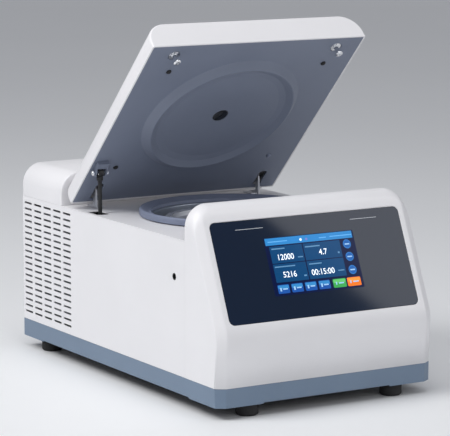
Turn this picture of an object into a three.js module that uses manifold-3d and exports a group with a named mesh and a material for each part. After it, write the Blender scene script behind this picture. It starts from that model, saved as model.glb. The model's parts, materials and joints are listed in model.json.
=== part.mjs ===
// Benchtop refrigerated centrifuge, lid open: housing, deck, lid with latches, hinges and gas strut,
// cooled chamber with a fixed-angle rotor, drive and cooling parts.
// Millimetres, +X right, +Y to the back, +Z up. The origin is on the table under the middle of the body.
import * as THREE from "three";
import { mergeVertices } from "three/addons/utils/BufferGeometryUtils.js";
import Module from "manifold-3d";

const wasm = await Module();
wasm.setup();

// ---------- Driving dimensions ----------
const GAP = 0.3; // between pieces that touch
const HALF_WIDTH = 190;
const FRONT = -319; // foremost line of the front cover
const BACK = 319;
const SKIRT_BOTTOM = 18;
const SKIRT_TOP = 47;
const DECK_TOP = 253;
const HOUSING_TOP = 306.5; // front cover and rear cover
const ARCH_RADIUS = 34; // long top corners of both covers and the lid
const FRONT_COVER_BACK = -219;
const REAR_COVER_FRONT = 180;
const CORNER_X = 14; // upright front corners are cut by this much across
const CORNER_Y = 9; // and by this much back
const SHEET = 2; // sheet metal
const WALL = 3; // moulded covers

// Console: a plane leaning back over a rounded fold
const CONSOLE_LEAN = THREE.MathUtils.degToRad(23.64);
const LOWER_LEAN = THREE.MathUtils.degToRad(3.65);
const FOLD_RADIUS = 60;
const FOLD_Z = 111;
const BROW_RADIUS = 28; // from the console to the top
const GLASS_HALF_WIDTH = 167;
const GLASS_LENGTH = 155;
const GLASS_RADIUS = 9;
const GLASS_THICKNESS = 2.5;
const GLASS_RECESS = 0.8;
const SCREEN_HALF_WIDTH = 78;

// Chamber
const CHAMBER_Y = -35;
const BOWL_RADIUS = 121.5;
const BOWL_FLOOR = 150;
const RING_OUTER = 144.5;
const RING_INNER = 126;

// Rotor and drive
const TUBE_COUNT = 6;
const TUBE_RADIUS = 14.75;
const TUBE_LEAN = THREE.MathUtils.degToRad(25);
const TUBE_MOUTH_R = 58;
const TUBE_MOUTH_Z = 231.5;
const SPINDLE_RADIUS = 8;

// Lid, in its own frame: closed, origin on the hinge axis
const LID_OPEN = THREE.MathUtils.degToRad(44.75);
const HINGE_Y = 152.7;
const HINGE_Z = 295;
const HINGE_X = 152;
const LID_LENGTH = 385;
const LID_BACK = 19.3;
const LID_FRONT = LID_BACK - LID_LENGTH;
const LID_FACE = -29; // underside
const LID_TOP = 14.5;
const LID_WALL = 2.5;
const LINER_THICKNESS = 3;
const PIN_RADIUS = 3;

// Latch
const LATCH_X = 145;
const LATCH_Y = -189;
const LATCH_SHAFT_Y = -187.4;
const LATCH_SHAFT_Z = 194.7;
const LATCH_RELEASED = THREE.MathUtils.degToRad(8);

// Gas strut
const STRUT_X = -172;
const STRUT_TOP = [-67.8, -35.5]; // upper ball, lid frame
const STRUT_FOOT = [80, 95]; // lower pivot
const STRUT_TUBE_TOP = 245;

// Cooling and electrics
const FAN_AXIS = [232, 150];
const FAN_RADIUS = 66;
const INLET_X = -70;
const INLET_Z = 78;
const SWITCH_Z = 108;

// ---------- Solids ----------
const AXES = {
  x: new THREE.Matrix4().set(0, 0, 1, 0, 1, 0, 0, 0, 0, 1, 0, 0, 0, 0, 0, 1),
  y: new THREE.Matrix4().set(1, 0, 0, 0, 0, 0, -1, 0, 0, 1, 0, 0, 0, 0, 0, 1),
  z: new THREE.Matrix4(),
};

// A closed geometry as a solid for joining and cutting.
function solid(geometry) {
  const bare = geometry.clone();
  bare.deleteAttribute("normal");
  bare.deleteAttribute("uv");
  const merged = mergeVertices(bare, 1e-4);
  return new wasm.Manifold(
    new wasm.Mesh({
      numProp: 3,
      vertProperties: merged.attributes.position.array,
      triVerts: new Uint32Array(merged.index.array),
    }),
  );
}

function geometryOf(body) {
  const mesh = body.getMesh();
  const geometry = new THREE.BufferGeometry();
  geometry.setAttribute("position", new THREE.BufferAttribute(mesh.vertProperties, 3));
  geometry.setIndex(new THREE.BufferAttribute(mesh.triVerts, 1));
  const flat = geometry.toNonIndexed();
  flat.computeVertexNormals();
  return flat;
}

function placed(geometry, matrix) {
  return solid(geometry.clone().applyMatrix4(matrix));
}

function box([x0, x1], [y0, y1], [z0, z1]) {
  const geometry = new THREE.BoxGeometry(x1 - x0, y1 - y0, z1 - z0);
  geometry.translate((x0 + x1) / 2, (y0 + y1) / 2, (z0 + z1) / 2);
  return solid(geometry);
}

// A closed outline from corners [a, b, radius]: each radius becomes an arc.
function outline(corners, steps = 6) {
  const count = corners.length;
  const points = [];
  corners.forEach(([a, b, radius = 0], i) => {
    const corner = new THREE.Vector2(a, b);
    if (!radius) {
      points.push(corner);
      return;
    }
    const before = corners[(i + count - 1) % count];
    const after = corners[(i + 1) % count];
    const back = new THREE.Vector2(before[0], before[1]).sub(corner).normalize();
    const on = new THREE.Vector2(after[0], after[1]).sub(corner).normalize();
    const half = Math.acos(back.dot(on)) / 2;
    const middle = back.clone().add(on).normalize();
    const centre = middle.multiplyScalar(radius / Math.sin(half)).add(corner);
    const reach = radius / Math.tan(half);
    const first = back.clone().multiplyScalar(reach).add(corner).sub(centre);
    const last = on.clone().multiplyScalar(reach).add(corner).sub(centre);
    const sweep = Math.atan2(first.cross(last), first.dot(last));
    for (let k = 0; k <= steps; k++) {
      const turned = first.clone().rotateAround(new THREE.Vector2(), (sweep * k) / steps);
      points.push(turned.add(centre));
    }
  });
  return points;
}

// An outline extruded along an axis. Its points are [y, z] along x, [x, z] along y, [x, y] along z.
function prism(axis, points, [from, to]) {
  const shape = new THREE.Shape(points);
  const geometry = new THREE.ExtrudeGeometry(shape, { depth: to - from, bevelEnabled: false });
  // Along y the extrusion runs towards -Y, so it starts at its far end.
  geometry.translate(0, 0, axis === "y" ? -to : from);
  return placed(geometry, AXES[axis]);
}

// A round bar along an axis, centred on [a, b] in the same order as a prism's points.
function bar(axis, radius, [from, to], [a, b], segments = 16) {
  const geometry = new THREE.CylinderGeometry(radius, radius, to - from, segments);
  geometry.rotateX(Math.PI / 2);
  const middle = (from + to) / 2;
  const along = axis === "y" ? -middle : middle;
  if (axis === "y") geometry.rotateX(Math.PI);
  geometry.translate(a, b, along);
  return placed(geometry, AXES[axis]);
}

// A closed [radius, height] profile turned about an upright axis at [x, y].
function turned(profile, [x, y] = [0, 0], segments = 32) {
  const points = profile.map(([radius, height]) => new THREE.Vector2(radius, height));
  points.push(points[0].clone());
  const geometry = new THREE.LatheGeometry(points, segments);
  geometry.rotateX(Math.PI / 2);
  geometry.translate(x, y, 0);
  const body = solid(geometry);
  if (body.volume() > 0) return body;
  const flipped = geometry.clone();
  flipped.scale(1, -1, 1);
  flipped.translate(0, 2 * y, 0);
  return solid(flipped);
}

// Sections [y, z] at rising x joined into one closed body.
function loft(sections) {
  const count = sections[0].points.length;
  const positions = sections.flatMap(({ x, points }) => points.flatMap((p) => [x, p.x, p.y]));
  const index = [];
  for (let s = 0; s < sections.length - 1; s++) {
    for (let i = 0; i < count; i++) {
      const a = s * count + i;
      const b = s * count + ((i + 1) % count);
      index.push(a, b, b + count, a, b + count, a + count);
    }
  }
  const end = (sections.length - 1) * count;
  THREE.ShapeUtils.triangulateShape(sections[0].points, []).forEach(([a, b, c]) => {
    index.push(c, b, a, end + a, end + b, end + c);
  });
  const geometry = new THREE.BufferGeometry();
  geometry.setAttribute("position", new THREE.Float32BufferAttribute(positions, 3));
  geometry.setIndex(index);
  return solid(geometry);
}

function joined(...bodies) {
  return bodies.reduce((whole, body) => whole.add(body));
}

function cut(body, ...tools) {
  return tools.reduce((left, tool) => left.subtract(tool), body);
}

// Arch section [x, z]: flat bottom, two rounded top corners.
function arch(half, bottom, top, radius, steps = 7) {
  return outline(
    [
      [-half, bottom],
      [half, bottom],
      [half, top, radius],
      [-half, top, radius],
    ],
    steps,
  );
}

function rectangle([a0, a1], [b0, b1], radius, steps = 5) {
  return outline(
    [
      [a0, b0, radius],
      [a1, b0, radius],
      [a1, b1, radius],
      [a0, b1, radius],
    ],
    steps,
  );
}

// ---------- Scene graph ----------
const centrifuge = new THREE.Group();
const lid = new THREE.Group();
lid.position.set(0, HINGE_Y, HINGE_Z);
lid.rotation.x = -LID_OPEN;
centrifuge.add(lid);

const FINISHES = {
  white: [0xe6e6eb, 0.45, 0.0],
  skirt: [0x7a8ea6, 0.5, 0.0],
  slate: [0x5f6778, 0.6, 0.0],
  gasket: [0x78809a, 0.8, 0.0],
  rubber: [0x1a1a1c, 0.9, 0.0],
  black: [0x16171a, 0.55, 0.0],
  darkSheet: [0x232428, 0.6, 0.3],
  steel: [0xb8bcc2, 0.28, 1.0],
  polished: [0xd8dade, 0.14, 1.0],
  zinc: [0xc2c4c6, 0.4, 0.9],
  aluminium: [0xb9bdc4, 0.32, 1.0],
  copper: [0xb06a3c, 0.35, 1.0],
  glass: [0x1b2942, 0.08, 0.0],
  clear: [0x20242c, 0.1, 0.0],
  screen: [0x123a78, 0.25, 0.0],
  board: [0x1f5a3a, 0.6, 0.0],
  foam: [0xd9cfa8, 0.95, 0.0],
  enamel: [0x202225, 0.4, 0.2],
};

function add(name, finish, body, group = centrifuge) {
  const [color, roughness, metalness] = FINISHES[finish];
  const material = new THREE.MeshStandardMaterial({ color, roughness, metalness });
  const mesh = new THREE.Mesh(geometryOf(body), material);
  mesh.name = name;
  group.add(mesh);
  return mesh;
}

// ---------- Base ----------
function footprint(inset, front) {
  const half = HALF_WIDTH - inset;
  return outline([
    [-half, BACK - inset],
    [-half, front + inset + CORNER_Y],
    [-half + CORNER_X, front + inset],
    [half - CORNER_X, front + inset],
    [half, front + inset + CORNER_Y],
    [half, BACK - inset],
  ]);
}

const SKIRT_FRONT = FRONT + 4.2;
const PAN_BOTTOM = 22;
const PAN_FLOOR = PAN_BOTTOM + SHEET;
const SKIRT_WALL = 2.5;

function skirt() {
  const ring = cut(
    prism("z", footprint(0, SKIRT_FRONT), [SKIRT_BOTTOM, SKIRT_TOP - GAP]),
    prism("z", footprint(SKIRT_WALL, SKIRT_FRONT), [SKIRT_BOTTOM - 1, SKIRT_TOP + 1]),
  );
  const relief = [SKIRT_BOTTOM - 1, SKIRT_BOTTOM + 1.8]; // the corners reach a little lower
  return cut(
    ring,
    box([-112, 112], [FRONT - 1, SKIRT_FRONT + 6], relief),
    box([-HALF_WIDTH - 1, HALF_WIDTH + 1], [-230, 250], relief),
  );
}

function basePan() {
  const inset = SKIRT_WALL + GAP;
  return cut(
    prism("z", footprint(inset, SKIRT_FRONT), [PAN_BOTTOM, 43]),
    prism("z", footprint(inset + SHEET, SKIRT_FRONT), [PAN_FLOOR, 44]),
  );
}

add("skirt", "skirt", skirt());
add("base_pan", "darkSheet", basePan());

const FOOT_RADIUS = 17;
const FOOT_CHAMFER = 2.5;
const FOOT_PLACES = {
  foot_front_left: [-128, -294],
  foot_front_right: [128, -294],
  foot_rear_left: [-167, 262],
  foot_rear_right: [167, 262],
};
Object.entries(FOOT_PLACES).forEach(([name, place]) => {
  const profile = [
    [0, 0],
    [FOOT_RADIUS - FOOT_CHAMFER, 0],
    [FOOT_RADIUS, FOOT_CHAMFER],
    [FOOT_RADIUS, PAN_BOTTOM - GAP],
    [0, PAN_BOTTOM - GAP],
  ];
  add(name, "rubber", turned(profile, place, 24));
});

// ---------- Front cover and console ----------
const FOLD_CENTRE = [FRONT + FOLD_RADIUS, FOLD_Z];
const foldPoint = (angle) => [
  FOLD_CENTRE[0] - FOLD_RADIUS * Math.cos(angle),
  FOLD_CENTRE[1] + FOLD_RADIUS * Math.sin(angle),
];
const CONSOLE_START = foldPoint(CONSOLE_LEAN);
const consoleY = (z) => CONSOLE_START[0] + (z - CONSOLE_START[1]) * Math.tan(CONSOLE_LEAN);
const lowerStart = foldPoint(-LOWER_LEAN);
const lowerY = (z) => lowerStart[0] + (lowerStart[1] - z) * Math.tan(LOWER_LEAN);

// Side section [y, z] of the front cover, moved in by "inset" and back by "shift".
function consoleSection(bottom, top, back, inset, shift) {
  const foldSteps = 6;
  const fold = Array.from({ length: foldSteps + 1 }, (_, k) => {
    const angle = -LOWER_LEAN + ((CONSOLE_LEAN + LOWER_LEAN) * k) / foldSteps;
    const [y, z] = foldPoint(angle);
    return new THREE.Vector2(y + inset + shift, z);
  });
  const edge = consoleY(top) + inset + shift;
  const room = (0.9 * (back - edge)) / Math.tan((Math.PI / 2 - CONSOLE_LEAN) / 2);
  const brow = outline(
    [
      [consoleY(FOLD_Z + 60) + inset + shift, FOLD_Z + 60],
      [edge, top, Math.min(BROW_RADIUS, room)],
      [back, top],
    ],
    7,
  ).slice(1);
  return [
    new THREE.Vector2(back, bottom),
    new THREE.Vector2(lowerY(bottom) + inset + shift, bottom),
    ...fold,
    ...brow,
  ].reverse();
}

function consoleBody(half, bottom, top, back, inset) {
  const outer = consoleSection(bottom, top, back, inset, CORNER_Y);
  const middle = consoleSection(bottom, top, back, inset, 0);
  const body = loft([
    { x: -half, points: outer },
    { x: -half + CORNER_X, points: middle },
    { x: half - CORNER_X, points: middle },
    { x: half, points: outer },
  ]);
  const archRadius = ARCH_RADIUS - (HALF_WIDTH - half);
  return body.intersect(prism("y", arch(half, bottom - 1, top, archRadius), [FRONT - 1, back + 1]));
}

// Console frame: x right, y up the slope, z out of the glass, origin on the slope at the glass's foot.
const GLASS_FOOT_Z = 139.2;
const consoleFrame = new THREE.Matrix4()
  .makeTranslation(0, consoleY(GLASS_FOOT_Z), GLASS_FOOT_Z)
  .multiply(new THREE.Matrix4().makeRotationX(Math.PI / 2 - CONSOLE_LEAN));

function onConsole(points, [from, to]) {
  const geometry = new THREE.ExtrudeGeometry(new THREE.Shape(points), {
    depth: to - from,
    bevelEnabled: false,
  });
  geometry.translate(0, 0, from);
  return placed(geometry, consoleFrame);
}

const glassOutline = (grow) =>
  rectangle(
    [-GLASS_HALF_WIDTH - grow, GLASS_HALF_WIDTH + grow],
    [-grow, GLASS_LENGTH + grow],
    Math.max(GLASS_RADIUS + grow, 3),
  );

function frontCover() {
  const bottom = SKIRT_TOP;
  const shell = consoleBody(HALF_WIDTH, bottom, HOUSING_TOP, FRONT_COVER_BACK, 0);
  const innerTop = HOUSING_TOP - WALL;
  const hollow = consoleBody(HALF_WIDTH - WALL, bottom - 2, innerTop, FRONT_COVER_BACK - WALL, 5);
  const wayBack = box(
    [-HALF_WIDTH + WALL, HALF_WIDTH - WALL],
    [FRONT_COVER_BACK - 10, FRONT_COVER_BACK + 2],
    [bottom - 2, DECK_TOP - 4],
  );
  const ledge = -10;
  return cut(
    shell,
    hollow,
    wayBack,
    onConsole(glassOutline(GAP), [-GLASS_RECESS - GLASS_THICKNESS - GAP, 10]),
    onConsole(glassOutline(ledge), [-14, 10]),
  );
}

add("front_cover", "white", frontCover());
const glassSpan = [-GLASS_RECESS - GLASS_THICKNESS, -GLASS_RECESS];
add("console_glass", "glass", onConsole(glassOutline(0), glassSpan));

const BEHIND_GLASS = -GLASS_RECESS - GLASS_THICKNESS - GAP;
const DISPLAY_BACK = BEHIND_GLASS - 9;
const screenOutline = rectangle([-SCREEN_HALF_WIDTH - 5, SCREEN_HALF_WIDTH + 5], [31, 129], 2, 2);
add("display_module", "screen", onConsole(screenOutline, [DISPLAY_BACK, BEHIND_GLASS]));
const boardOutline = rectangle([-95, 95], [22, 136], 3, 2);
add("control_board", "board", onConsole(boardOutline, [DISPLAY_BACK - GAP - 1.6, DISPLAY_BACK - GAP]));

// ---------- Side panels ----------
const VENT_COLUMNS = 5;
const VENT_ROWS = 19;
const VENT_PITCH_Y = 34.6;
const VENT_PITCH_Z = 10.1;
const VENT_LENGTH = 27;
const VENT_HEIGHT = 3;
const VENT_FIRST = [161.5, 60.5]; // centre of the lowest front slot

function sidePanel(side) {
  const span = side < 0 ? [-HALF_WIDTH, -HALF_WIDTH + SHEET] : [HALF_WIDTH - SHEET, HALF_WIDTH];
  const points = outline([
    [FRONT_COVER_BACK + GAP, SKIRT_TOP],
    [BACK, SKIRT_TOP],
    [BACK, DECK_TOP],
    [REAR_COVER_FRONT, DECK_TOP],
    [REAR_COVER_FRONT, DECK_TOP - SHEET - GAP],
    [FRONT_COVER_BACK + GAP, DECK_TOP - SHEET - GAP],
  ]);
  let panel = prism("x", points, span);
  const columns = side < 0 ? VENT_COLUMNS : VENT_COLUMNS - 2;
  for (let column = 0; column < columns; column++) {
    for (let row = 0; row < VENT_ROWS; row++) {
      const y = VENT_FIRST[0] + column * VENT_PITCH_Y;
      const z = VENT_FIRST[1] + row * VENT_PITCH_Z;
      const slot = box(
        [span[0] - 1, span[1] + 1],
        [y - VENT_LENGTH / 2, y + VENT_LENGTH / 2],
        [z - VENT_HEIGHT / 2, z + VENT_HEIGHT / 2],
      );
      panel = panel.subtract(slot);
    }
  }
  return panel;
}

const RELEASE_RADIUS = 5.6;
const releaseCentre = [LATCH_SHAFT_Y, LATCH_SHAFT_Z];
const leftPanel = sidePanel(-1).subtract(
  bar("x", RELEASE_RADIUS, [-HALF_WIDTH - 1, -HALF_WIDTH + SHEET + 1], releaseCentre),
);
add("left_side_panel", "white", leftPanel);
add("right_side_panel", "white", sidePanel(1));
const releaseSpan = [-HALF_WIDTH + GAP, -HALF_WIDTH + 7];
const releaseBush = cut(
  joined(
    bar("x", RELEASE_RADIUS - GAP, releaseSpan, releaseCentre),
    bar("x", 9, [-HALF_WIDTH + SHEET + GAP, -HALF_WIDTH + 4], releaseCentre),
  ),
  bar("x", 4.2, [-HALF_WIDTH - 1, -HALF_WIDTH + 9], releaseCentre),
);
add("release_bush", "black", releaseBush);

// ---------- Deck and rear ----------
const STRUT_HOLE = { x: [-183, -161], y: [64, 104] };
const HOOK_SLOT_HALF = 4.5;

function latchHole(x, bottom, top) {
  return joined(
    bar("z", 8, [bottom, top], [x, LATCH_Y], 24),
    box([x - HOOK_SLOT_HALF, x + HOOK_SLOT_HALF], [LATCH_Y - 24, LATCH_Y], [bottom, top]),
  );
}

function deck() {
  const inner = HALF_WIDTH - SHEET - GAP;
  const tongue = REAR_COVER_FRONT + 22;
  const points = outline([
    [-HALF_WIDTH, FRONT_COVER_BACK + GAP],
    [HALF_WIDTH, FRONT_COVER_BACK + GAP],
    [HALF_WIDTH, REAR_COVER_FRONT - GAP],
    [inner, REAR_COVER_FRONT - GAP],
    [inner, tongue],
    [-inner, tongue],
    [-inner, REAR_COVER_FRONT - GAP],
    [-HALF_WIDTH, REAR_COVER_FRONT - GAP],
  ]);
  const through = [DECK_TOP - SHEET - 1, DECK_TOP + 1];
  return cut(
    prism("z", points, [DECK_TOP - SHEET, DECK_TOP]),
    bar("z", RING_INNER + 2, through, [0, CHAMBER_Y], 64),
    prism("z", rectangle(STRUT_HOLE.x, STRUT_HOLE.y, 4, 3), through),
    latchHole(-LATCH_X, ...through),
    latchHole(LATCH_X, ...through),
  );
}

function rearCover() {
  const bottom = DECK_TOP + GAP;
  const inside = [REAR_COVER_FRONT + WALL, BACK - WALL];
  return cut(
    prism("y", arch(HALF_WIDTH, bottom, HOUSING_TOP, ARCH_RADIUS), [REAR_COVER_FRONT, BACK]),
    prism("y", arch(HALF_WIDTH - WALL, bottom - 1, HOUSING_TOP - WALL, ARCH_RADIUS - WALL), inside),
  );
}

const INLET_HALF = [27, 36]; // half width and half height of the power entry's face
const INLET_MIDDLE_Z = (INLET_Z + SWITCH_Z) / 2;
const REAR_PANEL = [BACK - 4, BACK - SHEET];
const GRILLE_COLUMNS = [40, 126];
const GRILLE_HALF_LENGTH = 38;
const GRILLE_HALF_HEIGHT = 1.75;
const GRILLE_ROWS = 13;
const GRILLE_FIRST_Z = 76;
const GRILLE_PITCH = 12;

function rearPanel() {
  const half = HALF_WIDTH - SHEET - GAP;
  let panel = box([-half, half], REAR_PANEL, [SKIRT_TOP, DECK_TOP - GAP]);
  GRILLE_COLUMNS.forEach((x) => {
    for (let row = 0; row < GRILLE_ROWS; row++) {
      const z = GRILLE_FIRST_Z + row * GRILLE_PITCH;
      const slot = box(
        [x - GRILLE_HALF_LENGTH, x + GRILLE_HALF_LENGTH],
        [BACK - 6, BACK],
        [z - GRILLE_HALF_HEIGHT, z + GRILLE_HALF_HEIGHT],
      );
      panel = panel.subtract(slot);
    }
  });
  const opening = box(
    [INLET_X - INLET_HALF[0] + 3, INLET_X + INLET_HALF[0] - 3],
    [BACK - 6, BACK],
    [INLET_MIDDLE_Z - INLET_HALF[1] + 3, INLET_MIDDLE_Z + INLET_HALF[1] - 3],
  );
  return panel.subtract(opening);
}

add("top_deck", "white", deck());
add("rear_cover", "white", rearCover());
add("rear_panel", "white", rearPanel());

// ---------- Power entry ----------
const ROCKER_AXIS = [BACK - 7, SWITCH_Z];
const ROCKER_TILT = THREE.MathUtils.degToRad(9);

function powerInlet() {
  const [halfX, halfZ] = INLET_HALF;
  const faceSpan = [REAR_PANEL[1] + GAP, BACK];
  const face = prism(
    "y",
    rectangle([INLET_X - halfX, INLET_X + halfX], [INLET_MIDDLE_Z - halfZ, INLET_MIDDLE_Z + halfZ], 3, 3),
    faceSpan,
  );
  const inset = 3 + GAP;
  const body = box(
    [INLET_X - halfX + inset, INLET_X + halfX - inset],
    [BACK - 34, faceSpan[0] + 0.1],
    [INLET_MIDDLE_Z - halfZ + inset, INLET_MIDDLE_Z + halfZ - inset],
  );
  const socket = prism(
    "y",
    outline([
      [INLET_X - 13.5, INLET_Z - 9.5],
      [INLET_X + 13.5, INLET_Z - 9.5],
      [INLET_X + 13.5, INLET_Z + 5],
      [INLET_X + 9, INLET_Z + 9.5],
      [INLET_X - 9, INLET_Z + 9.5],
      [INLET_X - 13.5, INLET_Z + 5],
    ]),
    [BACK - 18, BACK + 1],
  );
  const well = box([INLET_X - 7, INLET_X + 7], [BACK - 18, BACK + 1], [SWITCH_Z - 13, SWITCH_Z + 13]);
  const blade = (x, z) => box([x - 1, x + 1], [BACK - 19, BACK - 3], [z - 2, z + 2]);
  return joined(
    cut(joined(face, body), socket, well),
    blade(INLET_X - 7, INLET_Z - 2.5),
    blade(INLET_X + 7, INLET_Z - 2.5),
    blade(INLET_X, INLET_Z + 3.5),
  );
}

add("power_inlet", "black", powerInlet());
const rocker = prism(
  "x",
  outline([
    [-5, -8.5],
    [4.4, -10.5],
    [5.6, 0, 4],
    [4.4, 10.5],
    [-5, 8.5],
  ]),
  [-6.5, 6.5],
);
const powerSwitch = add("power_switch", "black", rocker);
powerSwitch.position.set(INLET_X, ...ROCKER_AXIS);
powerSwitch.rotation.x = ROCKER_TILT;

// ---------- Chamber ----------
const chamberCentre = [0, CHAMBER_Y];
const RIM_TOP = DECK_TOP + 1.3;
const BOWL_WALL = 1.3;

const bowlProfile = [
  [16, BOWL_FLOOR],
  [BOWL_RADIUS - 12, BOWL_FLOOR],
  [BOWL_RADIUS, BOWL_FLOOR + 12],
  [BOWL_RADIUS, RIM_TOP],
  [136, RIM_TOP],
  [136, RIM_TOP - 1],
  [BOWL_RADIUS + BOWL_WALL, RIM_TOP - 1],
  [BOWL_RADIUS + BOWL_WALL, BOWL_FLOOR + 11.5],
  [BOWL_RADIUS - 11.5, BOWL_FLOOR - BOWL_WALL],
  [16, BOWL_FLOOR - BOWL_WALL],
];
add("chamber_bowl", "polished", turned(bowlProfile, chamberCentre, 48));

const ringProfile = [
  [RING_INNER, RIM_TOP + GAP],
  [RING_OUTER, RIM_TOP + GAP],
  [RING_OUTER, 263.6],
  [143.2, 265.2],
  [141, 265.2],
  [127.5, 258.7],
  [RING_INNER, 258.2],
];
add("seal_ring", "gasket", turned(ringProfile, chamberCentre, 56));

const foamProfile = [
  [134, 249],
  [146, 249],
  [146, 133],
  [24, 133],
  [24, BOWL_FLOOR - BOWL_WALL - GAP],
  [134, BOWL_FLOOR - BOWL_WALL - GAP],
];
add("chamber_insulation", "foam", turned(foamProfile, chamberCentre, 28));

const COIL_RADIUS = 128.5;
const COIL_TURNS = 3;
const COIL_PITCH = 24;
const COIL_FOOT = 165;

class Helix extends THREE.Curve {
  getPoint(t, target = new THREE.Vector3()) {
    const angle = 2 * Math.PI * COIL_TURNS * t;
    return target.set(
      COIL_RADIUS * Math.cos(angle),
      COIL_RADIUS * Math.sin(angle) + CHAMBER_Y,
      COIL_FOOT + COIL_TURNS * COIL_PITCH * t,
    );
  }
}

function evaporatorCoil() {
  const tube = new THREE.Shape().absellipse(0, 0, 3.4, 3.4, 0, 2 * Math.PI);
  const geometry = new THREE.ExtrudeGeometry(tube, {
    steps: COIL_TURNS * 20,
    curveSegments: 3,
    extrudePath: new Helix(),
  });
  return solid(geometry);
}
add("evaporator_coil", "copper", evaporatorCoil());

// ---------- Drive ----------
const PLATE_Z = [54.6, 59.6];
const MOTOR_TOP = 130;
const SPINDLE_FOOT = 122;

const mountProfile = [
  [0, PAN_FLOOR + GAP],
  [16, PAN_FLOOR + GAP],
  [12, 39],
  [16, PLATE_Z[0] - GAP],
  [0, PLATE_Z[0] - GAP],
];
for (let k = 0; k < 3; k++) {
  const angle = Math.PI / 2 + (k * 2 * Math.PI) / 3;
  const place = [78 * Math.cos(angle), CHAMBER_Y + 78 * Math.sin(angle)];
  add(`motor_mount_${k + 1}`, "rubber", turned(mountProfile, place, 16));
}
add("motor_plate", "zinc", bar("z", 98, PLATE_Z, chamberCentre, 32));
const motorProfile = [
  [0, PLATE_Z[1] + GAP],
  [55, PLATE_Z[1] + GAP],
  [55, 122],
  [48, 127],
  [22, 127],
  [22, MOTOR_TOP],
  [SPINDLE_RADIUS + 0.4, MOTOR_TOP],
  [SPINDLE_RADIUS + 0.4, SPINDLE_FOOT - 1],
  [0, SPINDLE_FOOT - 1],
];
add("motor", "enamel", turned(motorProfile, chamberCentre, 28));

const spindleProfile = [
  [0, SPINDLE_FOOT],
  [SPINDLE_RADIUS, SPINDLE_FOOT],
  [SPINDLE_RADIUS, 153],
  [14, 154],
  [14, 157],
  [10, 158],
  [8, 200],
  [4, 204],
  [4, 228],
  [0, 228],
];
add("drive_spindle", "steel", turned(spindleProfile, chamberCentre, 16));

function rotor() {
  const profile = [
    [10.6, 160],
    [60, 160],
    [96, 163],
    [108, 172],
    [108, 245],
    [104, 250],
    [95, 250],
    [91, 242],
    [80, 241],
    [76, 240],
    [40, 223],
    [35, 222],
    [33, 212],
    [9, 212],
  ];
  let body = turned(profile, chamberCentre, 40);
  const hole = [
    [0, -64],
    [TUBE_RADIUS, -52],
    [TUBE_RADIUS, 20],
    [0, 20],
  ];
  for (let k = 0; k < TUBE_COUNT; k++) {
    const angle = (k * 2 * Math.PI) / TUBE_COUNT;
    const matrix = new THREE.Matrix4()
      .makeTranslation(0, CHAMBER_Y, 0)
      .multiply(new THREE.Matrix4().makeRotationZ(angle))
      .multiply(new THREE.Matrix4().makeTranslation(TUBE_MOUTH_R, 0, TUBE_MOUTH_Z))
      .multiply(new THREE.Matrix4().makeRotationY(-TUBE_LEAN));
    body = body.subtract(placed(geometryOf(turned(hole, [0, 0], 16)), matrix));
  }
  return body;
}
add("rotor", "aluminium", rotor());

function rotorNut() {
  const lobes = 9;
  const points = Array.from({ length: lobes * 4 }, (_, k) => {
    const angle = (k * 2 * Math.PI) / (lobes * 4);
    const radius = 21 + Math.cos(angle * lobes);
    return new THREE.Vector2(radius * Math.cos(angle), CHAMBER_Y + radius * Math.sin(angle));
  });
  return cut(
    joined(
      prism("z", points, [218, 232]),
      turned(
        [
          [0, 212.3],
          [16, 212.3],
          [16, 218.1],
          [0, 218.1],
        ],
        chamberCentre,
        24,
      ),
      turned(
        [
          [0, 231.9],
          [19, 231.9],
          [14, 236],
          [0, 236],
        ],
        chamberCentre,
        24,
      ),
    ),
    bar("z", 4.4, [211, 229], chamberCentre, 16),
  );
}
add("rotor_nut", "black", rotorNut());

// ---------- Latch ----------
function latchGuide(x) {
  const outer = rectangle([x - 13, x + 13], [LATCH_Y - 28, LATCH_Y + 12], 3, 3);
  const body = prism("z", outer, [DECK_TOP + GAP, DECK_TOP + 5]);
  return cut(body, latchHole(x, DECK_TOP - 1, DECK_TOP + 6));
}
add("left_latch_guide", "black", latchGuide(-LATCH_X));
add("right_latch_guide", "black", latchGuide(LATCH_X));

// Hook in its engaged place, relative to the shaft: the nose lies over the striker's head.
function latchHook(x) {
  const noseY = LATCH_Y - LATCH_SHAFT_Y - 4.2;
  const stemY = LATCH_Y - LATCH_SHAFT_Y - 7.2;
  const points = outline([
    [-8, -8, 6],
    [8, -8, 6],
    [8, 8, 6],
    [stemY, 22, 4],
    [stemY, 60],
    [noseY, 60],
    [noseY, 61.2],
    [stemY + 1, 63],
    [stemY - 6, 63, 2],
    [stemY - 6, 16, 4],
  ]);
  return prism("x", points, [x - 1.5, x + 1.5]);
}

const latchShaft = joined(
  cut(
    bar("x", 4, [-HALF_WIDTH + 7.5, 156], [0, 0]),
    bar("x", 2.5, [-HALF_WIDTH + 6, -HALF_WIDTH + 16], [0, 0], 6),
  ),
  latchHook(-LATCH_X),
  latchHook(LATCH_X),
);
const latch = add("latch_shaft", "zinc", latchShaft);
latch.position.set(0, LATCH_SHAFT_Y, LATCH_SHAFT_Z);
latch.rotation.x = LATCH_RELEASED;

// Gear case fastened to the right side panel, with its motor hanging below.
const GEAR_CASE_X = [157, HALF_WIDTH - SHEET - GAP];
const latchMotor = joined(
  box(GEAR_CASE_X, [LATCH_SHAFT_Y - 16, LATCH_SHAFT_Y + 16], [LATCH_SHAFT_Z - 18, LATCH_SHAFT_Z + 18]),
  bar("z", 11, [LATCH_SHAFT_Z - 48, LATCH_SHAFT_Z - 17], [170, LATCH_SHAFT_Y], 24),
);
add("latch_motor", "black", latchMotor);

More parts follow.
